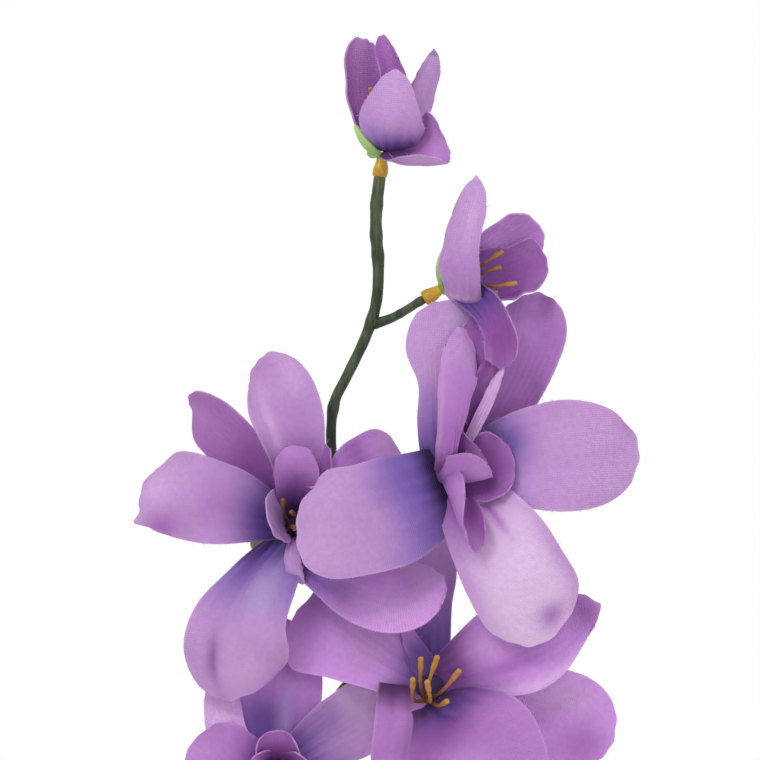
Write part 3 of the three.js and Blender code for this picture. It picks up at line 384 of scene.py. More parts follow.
                dye_and_shade=("mallow", "lilac", "plum", 0.15), dye_shade_and_light_patches=((0.35, 0.9, 0.5, 0.14, "dusk", 0.8),)),
        },
        "lobes": ((-9, -4, 1), (-5, 8, -1), (5, 8, -1), (9, -4, 0), (0, -10, 1)),
        "filaments": (
            ((-0.8, -5, -2.1), (-4, -9, -2), (-4.5, -15, 3.5)),
            ((-0.8, -5, -2.1), (-2.5, -9, 1), (-2.5, -15, 8.5)),
            ((-0.8, -5, -2.1), (-0.5, -11, 2), (1.5, -17, 9)),
            ((-0.8, -5, -2.1), (2.5, -9, 0), (7, -14, 5.5)),
            ((-0.8, -5, -2.1), (0, -12, -2), (-1, -19, 3)),
            ((-0.8, -5, -2.1), (1.5, -10, -3.5), (4, -15, -2)),
        ),
    },
    "bloom_low": {
        "centre": (-28, -10, 259), "axis": (0, -1, 0.05), "size": BLOOM,
        "petals": {
            "high_left": dict(spine=((-1.5, -1.5, 1.5), (-10.5, -3.5, 9), (-15, 1, 22.5)), width=12, base=0.7,
                belly=0.5, blunt=2.6, facing=(0, -1, 0.2), cup=(20, -30), left=(1, 1.1, 1.2, 1, 1),
                right=(0.4, 0.35, 0.42, 0.7, 0.95), dye_and_shade=("iris", "lilac", "blue", 0.15),
                # The pale patch is painted light
                dye_shade_and_light_patches=((0.75, 0, 0.25, 1.2, "pale", 0.6),)),
            "top": dict(spine=((0, 0.5, 2), (1, 2, 19), (3, 7, 36)), width=19.5, base=0.6, belly=0.5,
                blunt=2.4, facing=(0, -1, 0), cup=(30, 0), left=(1, 1.16, 1.12, 1, 1),
                dye_and_shade=("iris", "lilac", "dusk", 0.5), dye_shade_and_light_patches=(
                    (0.7, 0, 0.16, 1, "grape", 0.6), (0.27, 0.5, 0.2, 0.5, "dusk", 0.7),
                    (0.34, -0.1, 0.2, 0.16, "haze", 0.6),
                )),
            "right": dict(spine=((2, 0, 0.5), (16.5, -2, 10), (28, 2, 16)), width=18, base=0.5, belly=0.6,
                blunt=2.6, facing=(0, -1, 0), cup=(20, 20), dye_and_shade=("lilac", "lilac", "dusk", 0.45), dye_shade_and_light_patches=(
                    # The dusk patch is painted shade, and the pale patch painted light on the upper part
                    (0.45, 0.5, 0.16, 0.6, "dusk", 0.5), (0.85, 0.5, 0.3, 0.8, "pale", 0.7),
                )),
            "left": dict(spine=((-2.5, -1, -1), (-13, -8, 1.5), (-23, -5, 3)), width=21, base=0.5,
                belly=0.6, blunt=2.6, facing=(0, -1, 0.3), cup=(20, -40),
                dye_and_shade=("mallow", "lilac", "plum", 0.3)),
            "low_left": dict(spine=((-1, -1.5, -2.5), (-8, -12, -18.5), (-16, -7, -31.5)), width=25,
                base=0.6, belly=0.6, blunt=2.8, facing=(0, -0.9, 0.4), cup=(20, -40),
                dye_and_shade=("lilac", "lilac", "plum", 0.3)),
            "low_right": dict(spine=((2, -1, -2.5), (10.5, -11, -16), (17.5, -7, -34)), width=27, base=0.5,
                belly=0.6, blunt=2.6, facing=(0, -0.9, 0.4), cup=(20, -30),
                dye_and_shade=("lilac", "lilac", "blue", 0.4)),
        },
        "inner": {
            "top": dict(spine=((-0.5, -2, 1), (-0.5, -8, 5), (-0.5, -12, 9.5)), width=13, base=0.8,
                belly=0.5, blunt=2.6, facing=(0, -0.6, -0.8), cup=(60, 60), wave=0.1,
                dye_and_shade=("orchid", "mallow", "plum", 0.4)),
            "left": dict(spine=((-2, -2, -1), (-5, -10, -0.5), (-7, -15, 0.5)), width=12, base=0.7,
                belly=0.5, blunt=2.6, facing=(1, -0.5, 0.1), cup=(60, 60), wave=0.1,
                dye_and_shade=("orchid", "mallow", "plum", 0.4)),
            "right": dict(spine=((2, -2, -1), (5.5, -10, -1), (7.5, -15, 0)), width=12, base=0.7, belly=0.5,
                blunt=2.6, facing=(-1, -0.5, 0.1), cup=(60, 60), wave=0.1,
                dye_and_shade=("orchid", "mallow", "plum", 0.4)),
        },
        "lobes": ((-9, -4, 3), (-5, 9, 3), (5, 9, 3), (9, -4, 3), (0, -10, 3)),
        "filaments": (
            ((0, -5.5, -1), (-1, -9, -1), (-2, -13, 1)),
            ((0, -5.5, -1), (1, -9, -1), (1.5, -13, 0)),
            ((0, -5.5, -1), (0, -9, -2.5), (0, -13, -4)),
        ),
    },
}

STEM_ROUTE = (
    (-3.8, 0, 399.5), (-4, 0, 392.5), (-3.4, 0, 383), (-4, 0, 374), (-6.5, 0, 366), (-11.5, 0, 355.5),
    (-14.2, 0, 350), (-15.2, 0, 343), (-14.7, 0, 332), (-12.5, 0, 318), (-7.5, 0, 295), (-3, 0, 280),
    (-0.5, 0, 265), (0.4, 0, 248), (0.2, 0, 225), (0, 0, 195), (0, 0, 150), (0, 0, 80),
)
STALK_ROUTES = {
    "bud_side": ((-4.4, 0, 369), (0, -3, 370.5), (4, -6.5, 372.7)),
    "bloom_left": ((-12, 0, 311), (-17, 6, 314), (-22, 10.5, 317)),
    "bloom_right": ((-14.5, 0, 328), (-4, 4, 327), (9, 3, 330)),
    "bloom_front": ((-4.5, 0, 285), (0, 1.5, 280), (7, 0, 278.5)),
    "bloom_low": ((-3.5, 0, 281.5), (-9.8, 1, 280), (-20.5, 8, 265.5)),
}


# Sums on lists of numbers, and the steps that every piece takes
def unit(vectors):
    return vectors / np.linalg.norm(vectors, axis=-1, keepdims=True)


def ease(value, shaded_end, high):
    share = np.clip((value - shaded_end) / (high - shaded_end), 0, 1)
    return share * share * (3 - 2 * share)


def linear(colour):
    """An sRGB colour from 0 to 255 as linear light."""
    share = np.array(colour, float) / 255
    return np.where(share <= 0.04045, share / 12.92, ((share + 0.055) / 1.055) ** 2.4)


def smooth_run(values, place):
    """A smooth run through values at even steps from 0 to 1."""
    padded = np.array([values[0], *values, values[-1]], float)
    spot = np.clip(place, 0, 1) * (len(values) - 1)
    i = np.minimum(spot.astype(int), len(values) - 2)
    f = spot - i
    a, b, c, d = (padded[i + k] for k in range(4))
    return 0.5 * (2 * b + (c - a) * f + (2 * a - 5 * b + 4 * c - d) * f**2 + (3 * b - a - 3 * c + d) * f**3)


def clear_selection():
    bpy.ops.object.select_all(action="DESELECT")


def only(piece):
    clear_selection()
    piece.select_set(True)
    bpy.context.view_layer.objects.active = piece


def apply_modifiers(piece):
    only(piece)
    for modifier in list(piece.modifiers):
        bpy.ops.object.modifier_apply(modifier=modifier.name)


def join(pieces, name):
    clear_selection()
    for piece in pieces:
        piece.select_set(True)
    bpy.context.view_layer.objects.active = pieces[0]
    if len(pieces) > 1:
        bpy.ops.object.join()
    pieces[0].name = name
    pieces[0].data.name = name
    return pieces[0]


def corners(piece):
    flat = np.empty(len(piece.data.vertices) * 3)
    piece.data.vertices.foreach_get("co", flat)
    return flat.reshape(-1, 3)


def place_corners(piece, points):
    piece.data.vertices.foreach_set("co", np.asarray(points, float).ravel())
    piece.data.update()


def paint(piece, colours):
    """Gives each corner its linear colour, in the attribute that the fabric and plastics read."""
    # The attribute holds the dye together with the painted shade and painted light laid on it
    dye_and_shade = piece.data.color_attributes.get("dye_and_shade")
    if dye_and_shade is None:
        dye_and_shade = piece.data.color_attributes.new(name="dye_and_shade", type="FLOAT_COLOR", domain="POINT")
    full = np.ones((len(colours), 4))
    full[:, :3] = np.clip(colours, 0, 1)
    dye_and_shade.data.foreach_set("color", full.ravel())


def lay_cut(piece, across, along):
    """Sets the piece's UV map to the place on the flat cut cloth, in millimetres."""
    if "cut" not in piece.data.uv_layers:
        piece.data.uv_layers.new(name="cut")
    for other in [u.name for u in piece.data.uv_layers if u.name != "cut"]:
        piece.data.uv_layers.remove(piece.data.uv_layers[other])
    layer = piece.data.uv_layers["cut"]
    corner = np.empty(len(piece.data.loops), int)
    piece.data.loops.foreach_get("vertex_index", corner)
    layer.data.foreach_set("uv", np.stack([across[corner], along[corner]], -1).astype(np.float32).ravel())


def finish_piece(piece, name, material, node):
    """Names the piece, gives it its material, and lets it stand for its node."""
    piece.name = name
    piece.data.name = name
    piece.data.materials.clear()
    piece.data.materials.append(material)
    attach(piece, "root")
    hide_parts(node)


# Blades: petals and the lobes behind them
def width_share(blade, t):
    rise = blade["base"] + (1 - blade["base"]) * np.sin(np.pi / 2 * np.clip(t / blade["belly"], 0, 1))
    past = np.clip((t - blade["belly"]) / (1 - blade["belly"]), 0, 1)
    return rise * np.sqrt(np.clip(1 - past ** blade["blunt"], 0, 1))


def tip_place(blade, share):
    return blade["belly"] + (1 - blade["belly"]) * (1 - share * share) ** (1 / blade["blunt"])


def blade_surface(blade, s, v, wobble=None):
    """The middle surface at s, root to tip, and v, right edge to left: points, place along, place across."""
    t = s * tip_place(blade, v * TIP_CORNER)
    row = s * tip_place(blade, TIP_CORNER)
    edge = np.where(
        v > 0,
        smooth_run(blade.get("left", (1, 1)), row),
        smooth_run(blade.get("right", (1, 1)), row),
    )
    x = v * width_share(blade, row) * edge
    if wobble is not None:
        # A hand-cut edge isn't quite even, and some tips run out in a small point
        x = x * (1 + 0.012 * np.sin(7 * t + wobble[0]) + 0.008 * np.sin(17 * t + wobble[1] + 2 * np.sign(v)))
        t = t * (1 + s**6 * (0.008 * np.sin(4 * v + wobble[2]) + 0.005 * np.sin(11 * v + wobble[3])))
        place, reach = blade.get("point", (0, 0))
        t = t + s**8 * reach * np.exp(-(((v - place) / 0.16) ** 2))
    root, middle, tip = (np.array(point, float) for point in blade["spine"])
    along = t[:, None]
    centre = root * (2 * along - 1) * (along - 1) + middle * 4 * along * (1 - along) + tip * along * (2 * along - 1)
    direction = unit(root * (4 * along - 3) + middle * (4 - 8 * along) + tip * (4 * along - 1))
    start = unit(np.array(blade["facing"], float))
    end = unit(np.array(blade.get("facingTip", blade["facing"]), float))
    facing = start * (1 - along) + end * along
    side = unit(np.cross(facing, direction))
    inward = np.cross(direction, side)
    cup = np.radians(blade["cup"][0] * (1 - t) + blade["cup"][1] * t)
    ratio = x[:, None] * (np.arange(BEND_SAMPLES) + 0.5) / BEND_SAMPLES
    angle = cup[:, None] * ratio
    if "crease" in blade:
        place, turn = blade["crease"]
        soft = blade.get("soft", 0.06)
        angle = angle + np.radians(turn) * ease(ratio * np.sign(place), abs(place) - soft, abs(place) + soft)
    half = blade["width"] / 2
    across = half * x * np.cos(angle).mean(1)
    up = half * x * np.sin(angle).mean(1)
    up = up + blade.get("ripple", 0) * x * x * np.sin(3 * np.pi * t + np.where(x > 0, 0, 2.1))
    return centre + across[:, None] * side + up[:, None] * inward, t, x


def pressed_relief(blade, t, v, luck):
    """How far the pressed fabric stands off the smooth surface: ribs, pleats at the root, waves at the edge."""
    phase = luck.uniform(0, 2 * np.pi, 8)
    ribs = RELIEF["rib"] * np.cos(2 * np.pi * 5.5 * v + 0.5 * np.sin(5 * t + phase[0]))
    ribs = ribs * np.sin(np.pi * np.clip(t, 0, 1))
    pleats = RELIEF["pleat"] * np.cos(2 * np.pi * 2.6 * v + phase[1]) * np.exp(-((t / 0.28) ** 2))
    edge = np.abs(v) ** 4 * ease(t, 0.25, 0.7)
    wave = blade.get("wave", RELIEF["wave"])
    waves = wave * edge * np.sin(2 * np.pi * luck.uniform(2.2, 3.4) * t + phase[2] + v)
    tip = RELIEF["tip"] * ease(t, 0.75, 1) * np.sin(5 * v + phase[3])
    length = np.linalg.norm(np.subtract(blade["spine"][2], blade["spine"][0]))
    sag = np.zeros_like(t)
    for k in range(4):
        turn = phase[4 + k]
        spacing = 9 + 4 * k
        flat = (math.cos(turn) * v * blade["width"] / 2 + math.sin(turn) * t * length) * 2 * np.pi / spacing
        sag += RELIEF["sag"] * np.sin(flat + 3 * turn)
    dents = np.zeros_like(t)
    for place, across, reach, spread, depth in blade.get("dents", ()):
        dents -= depth * np.exp(-(((t - place) / reach) ** 2) - ((v - across) / spread) ** 2)
    return (ribs + pleats + waves + tip + sag + dents) * ease(t, 0, 0.08)


def petal_dye_and_shade(blade, t, v, outer, luck):
    """The cloth's colour: the root's dye runs up the petal in streaks, painted shade darkens the root, the cut edge
    is a little paler, and patches add dye marks, painted shade and painted light.
    """
    inner_name, outer_name, root_name, reach = blade["dye_and_shade"]
    face = "outer" if outer else "inner"
    body = linear(DYE_SHADE_AND_LIGHT_COLOURS[outer_name if outer else inner_name])
    root = linear(DYE_SHADE_AND_LIGHT_COLOURS[root_name])
    streak = 0.08 * np.sin(4.3 * v + luck.uniform(0, 6)) + 0.025 * np.sin(19 * v + luck.uniform(0, 6))
    run = 1 - ease(t + streak * reach, 0, reach * 1.25)
    weight = run * ROOT_DYE_AND_SHADE[face]
    colour = body * (1 - weight[:, None]) + root * weight[:, None]
    # Painted shade: each face grows darker towards its root, as in the shade round the heart
    colour = colour * (1 - ROOT_DYE_AND_SHADE[f"{face}_shade"] * (1 - ease(t, 0, 0.24)))[:, None]
    pale = linear(DYE_SHADE_AND_LIGHT_COLOURS["pale"])
    glow = PALER["tip"] * ease(t, 0.45, 1) * (0.6 + 0.4 * np.sin(5 * v + luck.uniform(0, 6)))
    rim = blade.get("rim", PALER["edge"]) * np.maximum(ease(np.abs(v), 0.965, 1), ease(t, 0.98, 1))
    lift = np.clip(glow + rim, 0, 1)[:, None]
    colour = colour * (1 - lift) + pale * lift
    # Patches lay dye marks, painted shade on shaded spots and painted light on lit spots
    for place, across, reach_t, reach_v, name, strength in blade.get("dye_shade_and_light_patches", ()):
        if outer != (strength < 0):
            continue
        spot = abs(strength) * np.exp(-(((t - place) / reach_t) ** 2) - ((v - across) / reach_v) ** 2)
        colour = colour * (1 - spot[:, None]) + linear(DYE_SHADE_AND_LIGHT_COLOURS[name]) * spot[:, None]
    return colour


def grid_frame(points, rows, columns):
    """Unit normals and edge directions of a grid of points, with normals on the side of its facing."""
    grid = points.reshape(rows + 1, columns + 1, 3)
    along = np.gradient(grid, axis=0)
    across = np.gradient(grid, axis=1)
    normal = np.cross(along, across)
    return unit(normal).reshape(-1, 3), unit(along + 1e-9).reshape(-1, 3), unit(across + 1e-9).reshape(-1, 3)


def pressed_petal(name, blade, centre, size, luck):
    """A flat grid of fabric pressed into the petal's form, then given the cloth's thickness."""
    rows, columns = size
    clear_selection()
    bpy.ops.mesh.primitive_grid_add(x_subdivisions=columns, y_subdivisions=rows, size=2)
    petal = bpy.context.active_object
    flat = corners(petal)
    # order lists the grid's corners row by row from the root, as the sums below take them
    order = np.lexsort((flat[:, 0].round(5), flat[:, 1].round(5)))
    s = (flat[order, 1] + 1) / 2
    v = flat[order, 0]
    points, t, x = blade_surface(blade, s, v, luck.uniform(0, 2 * np.pi, 4))
    normal, _, _ = grid_frame(points, rows, columns)
    points = points + normal * pressed_relief(blade, t, v, luck)[:, None]
    normal, along, across = grid_frame(points, rows, columns)
    inner = petal_dye_and_shade(blade, t, v, False, luck)
    outer = petal_dye_and_shade(blade, t, v, True, luck)
    placed = np.empty_like(points)
    placed[order] = (points + np.array(centre)) * MM
    place_corners(petal, placed)
    length = np.linalg.norm(np.subtract(blade["spine"][2], blade["spine"][0])) * 1.1
    cut_across = np.empty(len(x))
    cut_along = np.empty(len(x))
    cut_across[order] = x * blade["width"] / 2
    cut_along[order] = t * length
    lay_cut(petal, cut_across, cut_along)
    thick = petal.modifiers.new("thickness", "SOLIDIFY")
    thick.thickness = CLOTH * MM
    thick.offset = 0
    apply_modifiers(petal)
    made = corners(petal) / MM - np.array(centre)
    # The thickness doubles the corners, and each takes the colour of the face that it came to lie on
    back = np.empty(len(order), int)
    back[order] = np.arange(len(order))
    source = back[np.arange(len(made)) % len(order)]
    inward = ((made - points[source]) * normal[source]).sum(1) > 0
    paint(petal, np.where(inward[:, None], inner[source], outer[source]))
    bpy.ops.object.shade_smooth_by_angle(angle=math.radians(60))
    petal.name = name
    return petal, frayed_edge(points, normal, along, across, outer, size, centre, luck)


def frayed_edge(points, normal, along, across, dye_and_shade, size, centre, luck):
    """Short loose threads that stand out of the cut edge, as (corner points, faces, colours)."""
    rows, columns = size
    grid = np.arange(len(points)).reshape(rows + 1, columns + 1)
    rim = np.concatenate([grid[rows // 5:, 0], grid[-1, 1:], grid[rows // 5:-1, -1][::-1]])
    outward = np.concatenate([
        -across[grid[rows // 5:, 0]],
        along[grid[-1, 1:]],
        across[grid[rows // 5:-1, -1][::-1]],
    ])
    steps = np.linalg.norm(np.diff(points[rim], axis=0), axis=1)
    count = int(steps.sum() * FRAY["per_mm"])
    picks = luck.choice(len(rim), size=count, p=np.append(steps, 0) / steps.sum())
    corner_points, faces, colours = [], [], []
    for pick in picks:
        base = points[rim[pick]] + luck.normal(0, 0.15, 3)
        aim = unit(outward[pick] + luck.normal(0, 0.45, 3))
        reach = 0.18 + luck.exponential(0.22)
        bow = luck.normal(0, 0.12, 3) * reach
        side = unit(np.cross(aim, normal[rim[pick]]))
        lift = np.cross(side, aim)
        first = len(corner_points)
        for share, radius in FRAY["rings"]:
            middle = base + aim * reach * share + bow * share * share
            for turn in FRAY["turns"]:
                corner_points.append(middle + radius * (math.cos(turn) * side + math.sin(turn) * lift))
                colours.append(dye_and_shade[rim[pick]] * 1.12)
        for ring in (0, 3):
            for k in range(3):
                a = first + ring + k
                b = first + ring + (k + 1) % 3
                faces.append((a, b, b + 3, a + 3))
        faces.append((first + 2, first + 1, first))
        faces.append((first + 6, first + 7, first + 8))
    placed = (np.array(corner_points) + np.array(centre)) * MM
    return placed, faces, np.array(colours)


def threads_piece(bundles):
    """One mesh of all the loose threads of a flower."""
    points, faces, colours, start = [], [], [], 0
    for placed, sides, dyes in bundles:
        points.append(placed)
        colours.append(dyes)
        faces += [tuple(corner + start for corner in side) for side in sides]
        start += len(placed)
    mesh = bpy.data.meshes.new("threads")
    mesh.from_pydata(np.concatenate(points).tolist(), [], faces)
    threads = bpy.data.objects.new("threads", mesh)
    bpy.context.scene.collection.objects.link(threads)
    paint(threads, np.concatenate(colours))
    whole = np.concatenate(points) / MM
    lay_cut(threads, whole[:, 0], whole[:, 2])
    return threads


def flower_heart(flower):
    """The rolled knot of cloth that the petals' roots are glued to, painted near black as the shade at the flower's
    centre.
    """
    radius = flower["size"]["hub"]
    clear_selection()
    bpy.ops.mesh.primitive_uv_sphere_add(segments=32, ring_count=20, radius=radius)
    heart = bpy.context.active_object
    points = corners(heart)
    turn = np.arctan2(points[:, 2], points[:, 0])
    points *= 0.97 * (1 + 0.02 * np.sin(7 * turn + points[:, 1]))[:, None]
    place_corners(heart, (points + np.array(flower["centre"])) * MM)
    # Painted shade: ink stands for the deep shade in the heart
    paint(heart, np.tile(linear(DYE_SHADE_AND_LIGHT_COLOURS["ink"]), (len(points), 1)))
    lay_cut(heart, points[:, 0] + points[:, 1], points[:, 2])
    bpy.ops.object.shade_smooth()
    return heart


def flower_petals(name, flower, number):
    """All the fabric of one flower in one piece."""
    luck = np.random.default_rng(700 + number)
    pieces, bundles = [flower_heart(flower)], []
    for kind, size in (("petals", LONG_GRID), ("inner", SHORT_GRID)):
        for petal_name, blade in flower.get(kind, {}).items():
            petal, threads = pressed_petal(petal_name, blade, flower["centre"], size, luck)
            pieces.append(petal)
            bundles.append(threads)
    pieces.append(threads_piece(bundles))
    return join(pieces, f"{name}_fabric")


# Rods: stem, stalks and stamens
def centripetal_route(points, count):
    """Even steps along the smooth curve through the points, as the solids follow it."""
    control = np.array(points, float)
    before = 2 * control[0] - control[1]
    after = 2 * control[-1] - control[-2]
    control = np.vstack([before, control, after])
    fine = []
    for i in range(len(control) - 3):
        a, b, c, d = control[i:i + 4]
        gaps = [max(np.linalg.norm(q - p), 1e-4) ** 0.5 for p, q in ((a, b), (b, c), (c, d))]
        slope_b = ((b - a) / gaps[0] - (c - a) / (gaps[0] + gaps[1]) + (c - b) / gaps[1]) * gaps[1]
        slope_c = ((c - b) / gaps[1] - (d - b) / (gaps[1] + gaps[2]) + (d - c) / gaps[2]) * gaps[1]
        for f in np.linspace(0, 1, 24, endpoint=False):
            fine.append(
                b * (2 * f**3 - 3 * f**2 + 1) + slope_b * (f**3 - 2 * f**2 + f)
                + c * (3 * f**2 - 2 * f**3) + slope_c * (f**3 - f**2)
            )
    fine.append(control[-2])
    fine = np.array(fine)
    walked = np.append(0, np.cumsum(np.linalg.norm(np.diff(fine, axis=0), axis=1)))
    even = np.linspace(0, walked[-1], count)
    return np.stack([np.interp(even, walked, fine[:, k]) for k in range(3)], -1)


def rod(route, radii, sides):
    """A round rod along a route: a path curve with a round section, made a mesh with closed ends."""
    clear_selection()
    bpy.ops.curve.primitive_nurbs_path_add(radius=MM)
    path = bpy.context.active_object
    curve = path.data
    curve.splines.clear()
    line = curve.splines.new("POLY")
    line.points.add(len(route) - 1)
    line.points.foreach_set("co", np.c_[np.array(route) * MM, np.ones(len(route))].ravel())
    line.points.foreach_set("radius", np.array(radii, float))
    curve.dimensions = "3D"
    curve.bevel_depth = MM
    curve.bevel_resolution = max(sides // 4 - 1, 1)
    curve.use_fill_caps = True
    only(path)
    bpy.ops.object.convert(target="MESH")
    made = bpy.context.active_object
    bpy.ops.object.mode_set(mode="EDIT")
    bpy.ops.mesh.select_all(action="SELECT")
    bpy.ops.mesh.remove_doubles(threshold=1e-7)
    bpy.ops.mesh.normals_make_consistent(inside=False)
    bpy.ops.object.mode_set(mode="OBJECT")
    bpy.ops.object.shade_smooth_by_angle(angle=math.radians(50))
    return made


def swelling(height):
    rises = [np.exp(-(((height - joint) / STEM["joint_length"]) ** 2)) for joint in STEM["joints"]]
    return STEM["joint_rise"] * np.sum(rises, 0)


def stem_radius(height):
    marks = (STEM["wide_below"], STEM["bend"], STEM["top"])
    plain = np.interp(height, marks, (STEM["foot_radius"], STEM["bend_radius"], STEM["top_radius"]))
    return plain + np.where(height > STEM["straight_top"], swelling(height), 0)


def stalk_tip(flower, extra):
    size = flower["size"]
    back = size["hub"] + size["disc_thickness"] + size["collar_length"] + 3 * GAP - MEET + extra
    return np.array(flower["centre"]) - unit(np.array(flower["axis"], float)) * back


def stem_piece():
    """The moulded stem: knuckles where lengths were joined, and stalks that flare out of it."""
    luck = np.random.default_rng(41)
    top = [stalk_tip(FLOWERS["bud_top"], back) for back in (0, 2)]
    route = centripetal_route([*top, *STEM_ROUTE, (0, 0, STEM["foot"])], STEM["steps"])
    radii = stem_radius(route[:, 2]) * (1 + 0.02 * np.sin(route[:, 2] * 0.9) * np.sin(route[:, 2] * 0.23))
    rods = [rod(route, radii + luck.normal(0, 0.012, len(route)), STEM["sides"])]
    for name, between in STALK_ROUTES.items():
        flower = FLOWERS[name]
        line = centripetal_route([*between, stalk_tip(flower, 2), stalk_tip(flower, 0)], STALK["steps"])
        share = np.linspace(0, 1, len(line))
        knuckle = 0.14 * np.exp(-(((share - 0.93) / 0.04) ** 2)) + 0.08 * np.exp(-(((share - 0.5) / 0.03) ** 2))
        rods.append(rod(line, STALK["radius"] + STALK["flare"] * (1 - share) ** 4 + knuckle, STALK["sides"]))
    return join(rods, "moulded_stem")


def stamens_piece(name, flower, number):
    """A small clump with filaments that end in longer anthers."""
    luck = np.random.default_rng(60 + number)
    centre = np.array(flower["centre"])
    start = np.array(flower["filaments"][0][0]) + centre
    clear_selection()
    bpy.ops.mesh.primitive_uv_sphere_add(segments=20, ring_count=14, radius=STAMEN["clump"])
    clump = bpy.context.active_object
    place_corners(clump, (corners(clump) + start) * MM)
    bpy.ops.object.shade_smooth()
    pieces = [clump]
    for points in flower["filaments"]:
        line = centripetal_route([np.array(point) + centre for point in points], STAMEN["steps"])
        share = np.linspace(0, 1, len(line))
        line = line + np.sin(share * np.pi)[:, None] * luck.normal(0, 0.12, 3)
        anther = ease(share, 1 - 1.6 * STAMEN["anther_length"], 1 - STAMEN["anther_length"])
        radii = (STAMEN["radius"] + (STAMEN["anther"] - STAMEN["radius"]) * anther) * flower.get("stout", 1)
        radii = radii * (1 + 0.7 * np.exp(-((share / 0.14) ** 2)))
        radii = radii * np.sqrt(np.clip((1.03 - share) / 0.05, 0, 1)) + 0.03 * np.sin(share * 40)
        pieces.append(rod(line, radii, STAMEN["sides"]))
    made = join(pieces, f"{name}_filaments")
    points = corners(made) / MM
    reach = np.linalg.norm(points - start, axis=1)
    tip = ease(reach, 3, 12)[:, None]
    gold = linear(DYE_SHADE_AND_LIGHT_COLOURS["umber"]) * (1 - tip) + linear(DYE_SHADE_AND_LIGHT_COLOURS["gold"]) * tip
    # Painted shade: a flower's stamens may be darkened all over for the shade they stand in
    paint(made, gold * flower.get("stamen_shade", 1))
    return made


# Calyx and collar lie behind the flower, about its axis
def behind_flower(points, flower):
    axis = unit(np.array(flower["axis"], float))
    turn = Vector((0, 0, 1)).rotation_difference(Vector(axis)).to_matrix()
    return (points @ np.array(turn).T + np.array(flower["centre"])) * MM


def turned_piece(profile, steps):
    """A closed profile of (radius, height) spun about Z."""
    clear_selection()
    bpy.ops.mesh.primitive_plane_add(size=1)
    made = bpy.context.active_object
    bpy.ops.object.mode_set(mode="EDIT")
    bpy.ops.mesh.select_all(action="SELECT")
    bpy.ops.mesh.merge(type="CENTER")
    bpy.ops.transform.translate(value=(profile[0][0], 0, profile[0][1]))
    for (radius, height), (after_radius, after_height) in zip(profile, profile[1:]):
        shift = (after_radius - radius, 0, after_height - height)
        bpy.ops.mesh.extrude_region_move(TRANSFORM_OT_translate={"value": shift})
    bpy.ops.mesh.select_all(action="SELECT")
    bpy.ops.mesh.spin(steps=steps, angle=2 * math.pi, center=(0, 0, 0), axis=(0, 0, 1))
    bpy.ops.mesh.select_all(action="SELECT")
    bpy.ops.mesh.remove_doubles(threshold=1e-4)
    bpy.ops.mesh.normals_make_consistent(inside=False)
    bpy.ops.object.mode_set(mode="OBJECT")
    bpy.ops.object.shade_smooth_by_angle(angle=math.radians(40))
    return made


def calyx_piece(name, flower):
    """The light green disc behind the petals, with its lobes."""
    size = flower["size"]
    front = -size["hub"] - GAP + MEET
    back = front - size["disc_thickness"] - 2 * MEET
    wide = size["disc"]
    profile = [
        (0, back), (wide * 0.5, back), (wide * 0.62, back + 0.15), (wide * 0.92, front - 0.35),
        (wide, front - 0.15), (wide * 0.94, front), (wide * 0.6, front + 0.02), (0, front),
    ]
    disc = turned_piece(profile, 40)
    middle = (front + back) / 2
    pieces = [disc]
    for x, y, z in flower["lobes"]:
        blade = dict(
            spine=((0, 0, middle), (x * 0.58, y * 0.58, middle + 0.22 * max(z, 0)), (x, y, middle + z)),
            width=3.6 + 0.3 * math.hypot(x, y), base=0.7, belly=0.45, blunt=1.6, cup=(20, 50),
            facing=(0, 0, 1), facingTip=(-x, -y, abs(z) + 1) if z > 0 else (0, 0, 1),
        )
        rows, columns = LOBE_GRID
        clear_selection()
        bpy.ops.mesh.primitive_grid_add(x_subdivisions=columns, y_subdivisions=rows, size=2)
        lobe = bpy.context.active_object
        flat = corners(lobe)
        points, _, _ = blade_surface(blade, (flat[:, 1] + 1) / 2, flat[:, 0])
        place_corners(lobe, points)
        thick = lobe.modifiers.new("thickness", "SOLIDIFY")
        thick.thickness = LOBE
        thick.offset = 0
        rounded = lobe.modifiers.new("rounded", "BEVEL")
        rounded.width = 0.22
        rounded.segments = 2
        rounded.limit_method = "ANGLE"
        rounded.angle_limit = math.radians(50)
        apply_modifiers(lobe)
        bpy.ops.object.shade_smooth_by_angle(angle=math.radians(60))
        pieces.append(lobe)
    made = join(pieces, f"{name}_sepals")
    points = corners(made)
    reach = ease(np.hypot(points[:, 0], points[:, 1]), 1.5, 9)[:, None]
    paint(made, linear(DYE_SHADE_AND_LIGHT_COLOURS["leaf"]) * (1 - reach) + linear(DYE_SHADE_AND_LIGHT_COLOURS["mint"]) * reach)
    place_corners(made, behind_flower(points, flower))
    return made


